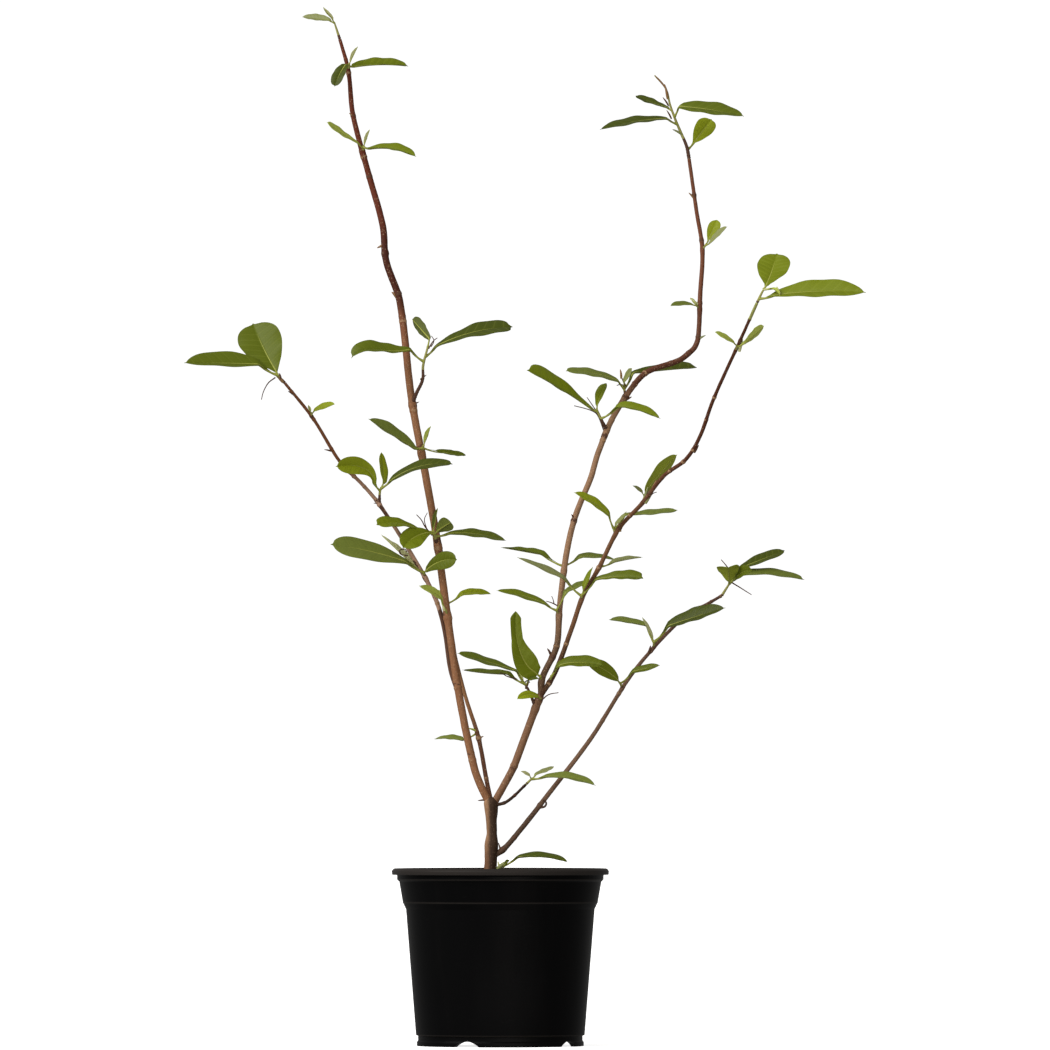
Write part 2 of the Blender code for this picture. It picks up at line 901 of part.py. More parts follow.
def smooth_route(places, step):
    """Points about `step` apart on a curve through the places, given and returned in mm."""
    knots = [Vector(place) for place in places]
    knots = [2 * knots[0] - knots[1]] + knots + [2 * knots[-1] - knots[-2]]
    points = []
    for before, start, end, after in zip(knots, knots[1:], knots[2:], knots[3:]):
        count = max(1, round((end - start).length / step))
        leave = (end - before) * (end - start).length / (end - before).length
        arrive = (after - start) * (end - start).length / (after - start).length
        for i in range(count):
            t = i / count
            points.append(
                start * (2 * t**3 - 3 * t**2 + 1)
                + leave * (t**3 - 2 * t**2 + t)
                + end * (3 * t**2 - 2 * t**3)
                + arrive * (t**3 - t**2)
            )
    return points + [knots[-2]]


def distances(points):
    """How far along the line each point lies."""
    found = [0.0]
    for start, end in zip(points, points[1:]):
        found.append(found[-1] + (end - start).length)
    return found


def point_along(points, distance):
    """The point that lies this far along the line, in mm."""
    for start, end in zip(points, points[1:]):
        length = (end - start).length
        if distance <= length:
            return start.lerp(end, distance / length)
        distance -= length
    return points[-1].copy()


def limb_radii(limb, points):
    total = distances(points)[-1]
    foot, tip = limb.foot_width / 2, limb.tip_width / 2
    return [foot + (tip - foot) * (d / total) ** limb.taper for d in distances(points)]


def tube(name, points, radii, sides):
    """A round tube through points in mm, as a curve object with flat filled ends."""
    curve = bpy.data.curves.new(name, "CURVE")
    curve.dimensions = "3D"
    curve.bevel_depth = mm(1.0)
    curve.bevel_resolution = sides // 2 - 2
    curve.use_fill_caps = True
    spline = curve.splines.new("POLY")
    spline.points.add(len(points) - 1)
    for knot, point, radius in zip(spline.points, points, radii):
        knot.co = (*mm(*point), 1.0)
        knot.radius = radius
    return bpy.data.objects.new(name, curve)


def widened(points, radii):
    """The same tube with the clearance added all round and past both ends."""
    head = points[0] - (points[1] - points[0]).normalized() * GAP
    tail = points[-1] + (points[-1] - points[-2]).normalized() * GAP
    return [head, *points[1:-1], tail], [radius + GAP for radius in radii]


def as_mesh(obj):
    """The object as a mesh object with its caps welded; the curve is removed."""
    bpy.context.scene.collection.objects.link(obj)
    graph = bpy.context.evaluated_depsgraph_get()
    mesh = bpy.data.meshes.new_from_object(obj.evaluated_get(graph), depsgraph=graph)
    name = obj.name
    bpy.data.objects.remove(obj, do_unlink=True)
    shape = bmesh.new()
    shape.from_mesh(mesh)
    bmesh.ops.remove_doubles(shape, verts=shape.verts, dist=1e-6)
    bmesh.ops.recalc_face_normals(shape, faces=shape.faces)
    shape.to_mesh(mesh)
    shape.free()
    mesh.shade_smooth()
    mesh.set_sharp_from_angle(angle=math.radians(50.0))
    mesh.name = name
    return bpy.data.objects.new(name, mesh)


def boolean(obj, others, operation):
    """Joins the objects to obj, or cuts them from it, applies that, and removes them."""
    group = collection("boolean_operands")
    for other in others:
        group.objects.link(other)
    bpy.context.scene.collection.objects.link(obj)
    step = obj.modifiers.new(operation.lower(), "BOOLEAN")
    step.operation = operation
    step.operand_type = "COLLECTION"
    step.collection = group
    graph = bpy.context.evaluated_depsgraph_get()
    result = bpy.data.meshes.new_from_object(obj.evaluated_get(graph), depsgraph=graph)
    obj.modifiers.clear()
    obj.data = result
    bpy.context.scene.collection.objects.unlink(obj)
    for other in others:
        bpy.data.objects.remove(other, do_unlink=True)
    bpy.data.collections.remove(group)


def keep_largest(obj):
    """Drops loose scraps and fills sealed hollows: only the largest connected shell stays."""
    shape = bmesh.new()
    shape.from_mesh(obj.data)
    left = set(shape.verts)
    shells = []
    while left:
        shell = []
        todo = [left.pop()]
        while todo:
            vert = todo.pop()
            shell.append(vert)
            near = {edge.other_vert(vert) for edge in vert.link_edges} & left
            left -= near
            todo.extend(near)
        shells.append(shell)
    shells.sort(key=len)
    scraps = [vert for shell in shells[:-1] for vert in shell]
    bmesh.ops.delete(shape, geom=scraps, context="VERTS")
    shape.to_mesh(obj.data)
    shape.free()


def tree_of(obj):
    """A search tree of the object's faces, which are in world coordinates."""
    mesh = obj.data
    corners = [vert.co for vert in mesh.vertices]
    return BVHTree.FromPolygons(corners, [tuple(face.vertices) for face in mesh.polygons])


@dataclass
class BuiltLimb:
    """A limb as it stands: its stations in mm and their radii."""

    points: list
    radii: list

    def clearance(self, sides=LIMB_SIDES):
        """A solid that is the limb with the clearance round it."""
        return as_mesh(tube("clearance", *widened(self.points, self.radii), sides))


def make_trunk(home, bark, parent):
    points = [Vector((x, y, z)) for _, x, y, z in TRUNK]
    radii = [width / 2 for width, *_ in TRUNK]
    trunk = as_mesh(tube("trunk", points, radii, TRUNK_SIDES))
    place(trunk, home, bark, parent)
    return BuiltLimb(points, radii)


def make_limb(limb, built, home, bark, parent):
    """A limb whose foot is cut to the shape of what it grows from."""
    points = smooth_route(limb.route, LIMB_STEP)
    radii = limb_radii(limb, points)
    obj = as_mesh(tube(limb.name, points, radii, LIMB_SIDES))
    sides = {name: TRUNK_SIDES if name == "trunk" else LIMB_SIDES for name in limb.grows_from}
    boolean(obj, [built[name].clearance(sides[name]) for name in sides], "DIFFERENCE")
    keep_largest(obj)
    place(obj, home, bark, parent)
    return BuiltLimb(points, radii)


# Leaves -------------------------------------------------------------------------------------


def blade_width(u):
    """Share of the full width at u along the blade: widest past the middle, with a short point."""
    return u**0.85 * (1.0 - u**2.5) / 0.463


def leaf_frame(blade, tilt):
    """Along, across and upper directions of a blade that is turned by tilt about its midrib."""
    along = blade.normalized()
    upper = (Vector((0.0, 0.0, 1.0)) - along * along.z).normalized()
    turn = Quaternion(along, math.radians(tilt))
    return along, turn @ along.cross(upper), turn @ upper, upper


def leaf_shape(leaf, root, rule):
    """(corners in mm, faces, first blade face) of a leaf whose stalk starts at the root."""
    foot = root + Vector(leaf.stalk)
    blade = Vector(leaf.blade)
    along, across, upper, rise = leaf_frame(blade, leaf.tilt)
    small = blade.length < SMALL_BLADE
    stations = SMALL_BLADE_STATIONS if small else BLADE_STATIONS
    thick = max(LEAF_THICKNESS, blade.length / LEAF_SLENDERNESS) / 2
    fold = FOLD + rule.uniform(-FOLD_SPREAD, FOLD_SPREAD)
    twist = math.radians(rule.uniform(-TWIST, TWIST))
    spine = [root] + [foot + blade * u + rise * leaf.arch * 4 * u * (1 - u) for u in stations]
    corners = []
    for i, centre in enumerate(spine):
        ahead = spine[min(i + 1, len(spine) - 1)] - spine[max(i - 1, 0)]
        turn = along.rotation_difference(ahead.normalized())
        u = stations[i - 1] if i else 0.0
        spin = Quaternion(along, twist * u)
        side, top = turn @ spin @ across, turn @ spin @ upper
        half = max(leaf.width / 2 * blade_width(u), STALK_WIDTH / 2 * (1.0 - 0.6 * u))
        lift = fold * half if 0.0 < u < 1.0 else 0.0
        deep = thick if u < 1.0 else thick / 2
        corners += [
            centre + side * half + top * lift,
            centre + top * deep,
            centre - side * half + top * lift,
            centre - top * deep,
        ]
    rings = len(spine)
    faces = [(3, 2, 1, 0)]
    for ring in range(rings - 1):
        for corner in range(4):
            a, b = 4 * ring + corner, 4 * ring + (corner + 1) % 4
            faces.append((a, b, b + 4, a + 4))
    last = 4 * (rings - 1)
    faces.append((last, last + 1, last + 2, last + 3))
    return corners, faces, 5


def make_leaf(leaf, root, rule, blocked):
    """A leaf as a loft of thin keeled sections, or None where its blade would touch something."""
    corners, faces, blade_start = leaf_shape(leaf, root, rule)
    corners = [mm(*corner) for corner in corners]
    blade = BVHTree.FromPolygons(corners, faces[blade_start:])
    if any(blade.overlap(other) for other in blocked):
        return None
    mesh = bpy.data.meshes.new("leaf")
    mesh.from_pydata(corners, [], faces)
    shape = bmesh.new()
    shape.from_mesh(mesh)
    bmesh.ops.recalc_face_normals(shape, faces=shape.faces)
    shape.to_mesh(mesh)
    shape.free()
    return bpy.data.objects.new("leaf", mesh)


def make_mass(mass, built, blocked, home, leaf_green, parent):
    """A spur with its leaves fused on, cut clear of its limb. Returns the mass's search tree."""
    limb = built[mass.limb]
    foot = point_along(limb.points, mass.along)
    points = [foot] + [foot + Vector(step) for step in mass.spur]
    length = distances(points)[-1]
    radii = [
        (mass.foot_width + (mass.tip_width - mass.foot_width) * d / length) / 2
        for d in distances(points)
    ]
    rule = random.Random(mass.name)
    leaves = []
    for leaf in mass.leaves:
        root = point_along(points, min(leaf.root, length - SPUR_END))
        tip = root + Vector(leaf.stalk) + Vector(leaf.blade)
        if (tip - foot).length <= MASS_REACH:
            leaves.append(make_leaf(leaf, root, rule, blocked))
    spur = as_mesh(tube(mass.name, points, radii, SPUR_SIDES))
    boolean(spur, [leaf for leaf in leaves if leaf], "UNION")
    boolean(spur, [limb.clearance(TRUNK_SIDES if mass.limb == "trunk" else LIMB_SIDES)], "DIFFERENCE")
    keep_largest(spur)
    place(spur, home, leaf_green, parent)
    return tree_of(spur)


def main():
    clear_scene()
    home = collection("potted_magnolia")
    cutters = collection("cutters")
    parent = bpy.data.objects.new("potted_magnolia", None)
    home.objects.link(parent)
    bark = finish("brown_bark", (0.150, 0.075, 0.042), 0.75)
    leaf_green = finish("leaf_green", (0.150, 0.215, 0.030), 0.55)
    make_pot(home, cutters, parent)
    make_mix(home, parent)
    built = {"trunk": make_trunk(home, bark, parent)}
    for limb in LIMBS:
        built[limb.name] = make_limb(limb, built, home, bark, parent)
    blocked = []
    for limb in built.values():
        shell = limb.clearance()
        blocked.append(tree_of(shell))
        bpy.data.objects.remove(shell, do_unlink=True)
    for mass in LEAF_MASSES:
        blocked.append(make_mass(mass, built, blocked, home, leaf_green, parent))


main()
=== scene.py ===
"""A young magnolia in a black nursery pot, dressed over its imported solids.

Metres, +Z up, front towards -Y, the origin at the middle of the pot's underside. Sizes in the
tables are in millimetres and MM turns them into metres. The pot and the growing mix are turned,
every limb is a ringed tube along a smooth route, and every spray of leaves grows from its limb:
a spur, a stalk with its midrib for each leaf, and a folded, veined blade in its own outline.
"""

import logging
import math
import random
from collections.abc import Callable, Iterable, Sequence
from dataclasses import dataclass, field
from enum import Enum

import bpy
import numpy as np
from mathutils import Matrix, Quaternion, Vector, noise


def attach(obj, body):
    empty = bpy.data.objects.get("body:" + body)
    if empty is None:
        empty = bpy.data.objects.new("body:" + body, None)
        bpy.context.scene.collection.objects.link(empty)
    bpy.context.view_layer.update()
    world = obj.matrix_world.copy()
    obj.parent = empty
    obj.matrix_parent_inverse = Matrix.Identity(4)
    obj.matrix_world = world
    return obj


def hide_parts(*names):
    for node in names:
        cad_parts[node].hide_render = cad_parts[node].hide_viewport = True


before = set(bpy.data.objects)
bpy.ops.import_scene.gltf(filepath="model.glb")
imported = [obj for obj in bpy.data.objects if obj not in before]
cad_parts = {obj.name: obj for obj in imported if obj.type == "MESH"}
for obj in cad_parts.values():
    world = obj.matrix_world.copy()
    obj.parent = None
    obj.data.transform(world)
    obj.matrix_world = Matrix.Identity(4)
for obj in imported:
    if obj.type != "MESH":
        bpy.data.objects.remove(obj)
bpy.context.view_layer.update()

ROOT = "root"
MM = 0.001

Triple = tuple[float, float, float]
Section = tuple[float, float, float, float]
Colour = tuple[float, float, float]
Array = np.ndarray
Piece = bpy.types.Object
Mesh = bpy.types.Mesh
Material = bpy.types.Material

log = logging.getLogger("potted_magnolia")


# --- Names ---


class Form(Enum):
    """Outline of a blade: the powers of its rise and its fall, and how blunt its tip is."""

    OVAL = (0.80, 0.66, 0.16)
    OBOVATE = (1.05, 0.50, 0.16)
    WEDGE = (1.15, 0.34, 0.16)
    LANCE = (0.85, 0.98, 0.16)
    STRAP = (0.55, 0.36, 0.16)
    ROUND = (0.98, 0.46, 0.16)
    PEAR = (0.50, 1.70, 0.50)


class Tone(Enum):
    """Colour family of a leaf, from the shaded old green to the palest new growth."""

    OLIVE = "olive"
    DEEP = "deep"
    GREEN = "green"
    DUSKY = "dusky"
    BRIGHT = "bright"
    FRESH = "fresh"
    SOFT = "soft"
    PALE = "pale"
    DRY = "dry"
    UMBER = "umber"


class Bark(Enum):
    """Which bark a limb wears."""

    TRUNK = "trunk_bark"
    LEFT = "left_stem_bark"
    OLD = "old_wood_bark"
    BACK = "back_stem_bark"
    TAN = "tan_bark"
    RED = "red_shoot_bark"
    DARK = "dark_stem_bark"
    BRANCH = "branch_bark"
    TWIG = "twig_bark"
    SHORT = "short_twig_bark"


class Scar(Enum):
    """What the skin is at a place along a limb: a corky ring, a rough dark one, or young green."""

    PALE = "pale_scar"
    DARK = "dark_scar"
    GREEN = "green_shoot"


OVAL, OBOVATE, WEDGE, LANCE, STRAP, ROUND, PEAR = Form
OLIVE, DEEP, GREEN, DUSKY, BRIGHT, FRESH, SOFT, PALE, DRY, UMBER = Tone


# --- Plans ---


@dataclass(frozen=True)
class LimbPlan:
    """A tapering limb: outside widths at its foot and tip, and places on its axis, in mm.

    Corky rings and rough dark scars are given by their place along it, length and swell, and
    from green_from on its skin is young and green.
    """

    node: str
    foot_width: float
    tip_width: float
    taper: float
    bark: Bark
    route: tuple[Triple, ...]
    rings: tuple[Triple, ...] = ()
    scars: tuple[Triple, ...] = ()
    green_from: float = math.inf


@dataclass(frozen=True)
class Leaf:
    """A leaf whose stalk leaves its spur `root` mm from the spur's foot, in mm and degrees."""

    root: float
    stalk: Triple
    blade: Triple
    width: float
    tilt: float
    arch: float
    form: Form
    tone: Tone
    peak: float = 0.5


@dataclass(frozen=True)
class SprayPlan:
    """A spur that leaves its limb `along` mm from the limb's foot, with its leaves."""

    node: str
    along: float
    spur: tuple[Triple, ...]
    foot_width: float
    tip_width: float
    woody: float
    leaves: tuple[Leaf, ...]


@dataclass(frozen=True)
class Bud:
    """A bud or a dry scale: its foot, how far right and up of it its tip lies, width and tone."""

    foot: Triple
    right: float
    up: float
    width: float
    tone: Tone


@dataclass(frozen=True)
class Thread:
    """A thin dry thread, such as what is left of a flower: its width and places on it."""

    width: float
    places: tuple[Triple, ...]


# --- The plant, in mm: sprays, buds and threads are listed by the limb that bears them ---


TRUNK: tuple[Section, ...] = (
    (19.5, -10, 0, 165), (15, -10, 0, 170.5), (13, -10, 0, 179.5), (13, -9.5, 0, 192),
    (14, -9, 0, 204), (10, -8.5, 0, 215), (11, -9, 0, 229.5), (14.5, -9.5, 0, 243.5),
    (14.5, -10, 0, 252.5),
)

LIMBS: tuple[LimbPlan, ...] = (
    LimbPlan(
        "left_stem", 7.8, 3.4, 5, Bark.LEFT,
        route=(
            (-13, 0, 249.5), (-20, 0.5, 264), (-26.5, 1.5, 282), (-40.5, 3, 348), (-52.5, 5.5, 427),
            (-64.5, 13.5, 513.5), (-77, 24.5, 584.5), (-90.5, 39.5, 658), (-102.5, 59, 756.5),
            (-116.5, 65.5, 798.5), (-120, 72, 834.5), (-134, 79, 885.5), (-150.5, 84.5, 948),
            (-155.5, 88, 994), (-164.5, 92, 1027),
        ),
        rings=(
            (43, 2.2, 0.35), (118, 2.6, 0.5), (189, 2.4, 0.45), (261, 2.4, 0.4), (406, 2.4, 0.35),
            (500, 2.6, 0.4), (676, 2, 0.5), (683, 2, 0.55), (764, 2, 0.5), (771, 2, 0.6),
        ),
        scars=(
            (50, 1.2, 0.1), (122, 2.4, 0.3), (194, 3, 0.3), (258, 2.4, 0.3), (269, 8, 0.2),
            (368, 2.4, 0.3), (411, 2.6, 0.35), (505, 2.6, 0.3), (529, 3, 0.7), (573, 4, 0.6),
            (655, 2.4, 0.3), (720, 2.2, 0.4), (778, 2.4, 0.3),
        ),
    ),
    LimbPlan(
        "left_branch", 4.9, 3, 1, Bark.BRANCH,
        route=(
            (-44, 4, 361), (-50.6, 8.5, 381.5), (-56.8, 12, 422), (-66.3, 12, 454.5),
            (-90.5, 4.5, 499), (-122.5, -9.5, 548.5), (-140, -19, 569), (-161.5, -33, 590.5),
            (-189, -59.5, 634.5), (-217.5, -90, 670),
        ),
        rings=((91, 2, 0.4), (209, 2.6, 0.6), (234, 2, 0.35), (250, 2.6, 0.6), (328, 2, 0.3)),
        scars=(
            (119, 5, 0.35), (215, 2.4, 0.3), (256, 2, 0.3), (290, 2.4, 0.3), (333, 3, 0.3),
            (370, 2, 0.3), (196, 24, 0), (134, 14, 0), (42, 84, 0),
        ),
    ),
    LimbPlan(
        "back_stem", 4.6, 3.4, 1, Bark.BACK,
        route=(
            (-10, 5, 250.5), (-14, 11, 269), (-22.5, 17, 313.5), (-36, 22, 356), (-49.5, 33, 412),
            (-54, 50, 445),
        ),
        rings=((22, 2, 0.3), (64, 3.6, 0.6)),
        scars=((70, 3, 0.3),),
    ),
    LimbPlan(
        "right_stem", 7.4, 7.8, 1, Bark.OLD,
        route=((-5.5, 0, 247.5), (7, 0.5, 270), (14, 1, 284), (23.5, 2, 309.5), (41.5, 4, 358)),
        rings=((41, 2.6, 0.5),),
        scars=((38, 1.6, 0.2),),
    ),
    LimbPlan(
        "upper_right_stem", 6.4, 5.7, 1, Bark.TAN,
        route=(
            (41, 3, 354), (42.5, 6, 372.5), (57, 11, 405), (60, 16, 442.5), (67, 25.5, 498.5),
            (76, 33.5, 537), (92, 45, 577), (99.5, 53.5, 602.5), (114.5, 65, 638.5),
            (136.5, 74.5, 672.5), (150.5, 80, 686), (183, 86.5, 698), (195.5, 89.5, 708),
        ),
        rings=((55, 2, 0.4), (277, 1.8, 0.4), (301, 2, 0.35), (346, 2, 0.5), (362, 2, 0.5)),
        scars=(
            (43, 4, 0.5), (186, 3, 0.5), (282, 4, 0.35), (329, 4, 0.4), (391, 2.2, 0.3),
            (412, 1.2, 0.2),
        ),
    ),
    LimbPlan(
        "upper_right_shoot", 5.6, 3.7, 0.7, Bark.RED,
        route=(
            (192.5, 89, 705), (198.5, 91, 711.5), (202, 93, 722), (204, 105, 765),
            (206.5, 119, 811.5), (200.5, 126, 852), (193, 137, 906.5),
        ),
        rings=((211, 2, 0.35),),
        scars=((20, 2.4, 0.5), (56, 3.4, 0.5), (124, 3.4, 0.5), (172, 3.6, 0.6)),
    ),
    LimbPlan(
        "outer_right_stem", 5.2, 3.1, 1, Bark.DARK,
        route=(
            (40.5, 3, 354), (55.5, -6, 378.5), (72, -17, 422), (83.5, -25, 455),
            (100, -34.5, 484.5), (120, -49, 523.5), (143, -63.5, 548.5), (165, -78, 576),
            (187, -91, 592.5), (201, -104.5, 615), (214, -125, 651), (244, -170.5, 717.5),
            (257.5, -191.5, 747.5),
        ),
        rings=(
            (17, 2, 0.3), (62, 2, 0.3), (149, 2.6, 0.5), (214, 1.8, 0.35), (279, 2, 0.4),
            (297, 2.6, 0.5), (314, 2, 0.4), (351, 2, 0.35), (378, 2.6, 0.5), (477, 2, 0.3),
        ),
        scars=((154, 2, 0.3), (196, 3.4, 0.5), (247, 3, 0.5), (450, 3, 0.4)),
        green_from=478,
    ),
    LimbPlan(
        "low_branch", 5.6, 3.1, 1, Bark.TWIG,
        route=(
            (-7.5, 0, 192), (4.5, 1, 200.5), (30.5, 8, 231.5), (46, 14.5, 251.5), (90.5, 34, 309.5),
            (137.5, 67, 382), (190.5, 94.5, 439), (209, 103, 448), (226.5, 110, 458),
        ),
        rings=((184, 2, 0.3), (218, 2.2, 0.4), (348, 2, 0.4), (375, 1.8, 0.4)),
        scars=(
            (12, 6, 0.7), (29, 3, 0.25), (72, 3, 0.6), (276, 3.4, 0.5), (333, 2.4, 0.3),
            (363, 2, 0.3),
        ),
        green_from=375,
    ),
    LimbPlan(
        "short_twig", 3.6, 2.6, 1, Bark.SHORT,
        route=((-8.5, -1, 243.5), (6.5, -5, 247.5), (27, -11, 266)),
        scars=((13, 2, 0.4), (27, 2, 0.4), (40, 2, 0.3)),
        green_from=43,
    ),
)

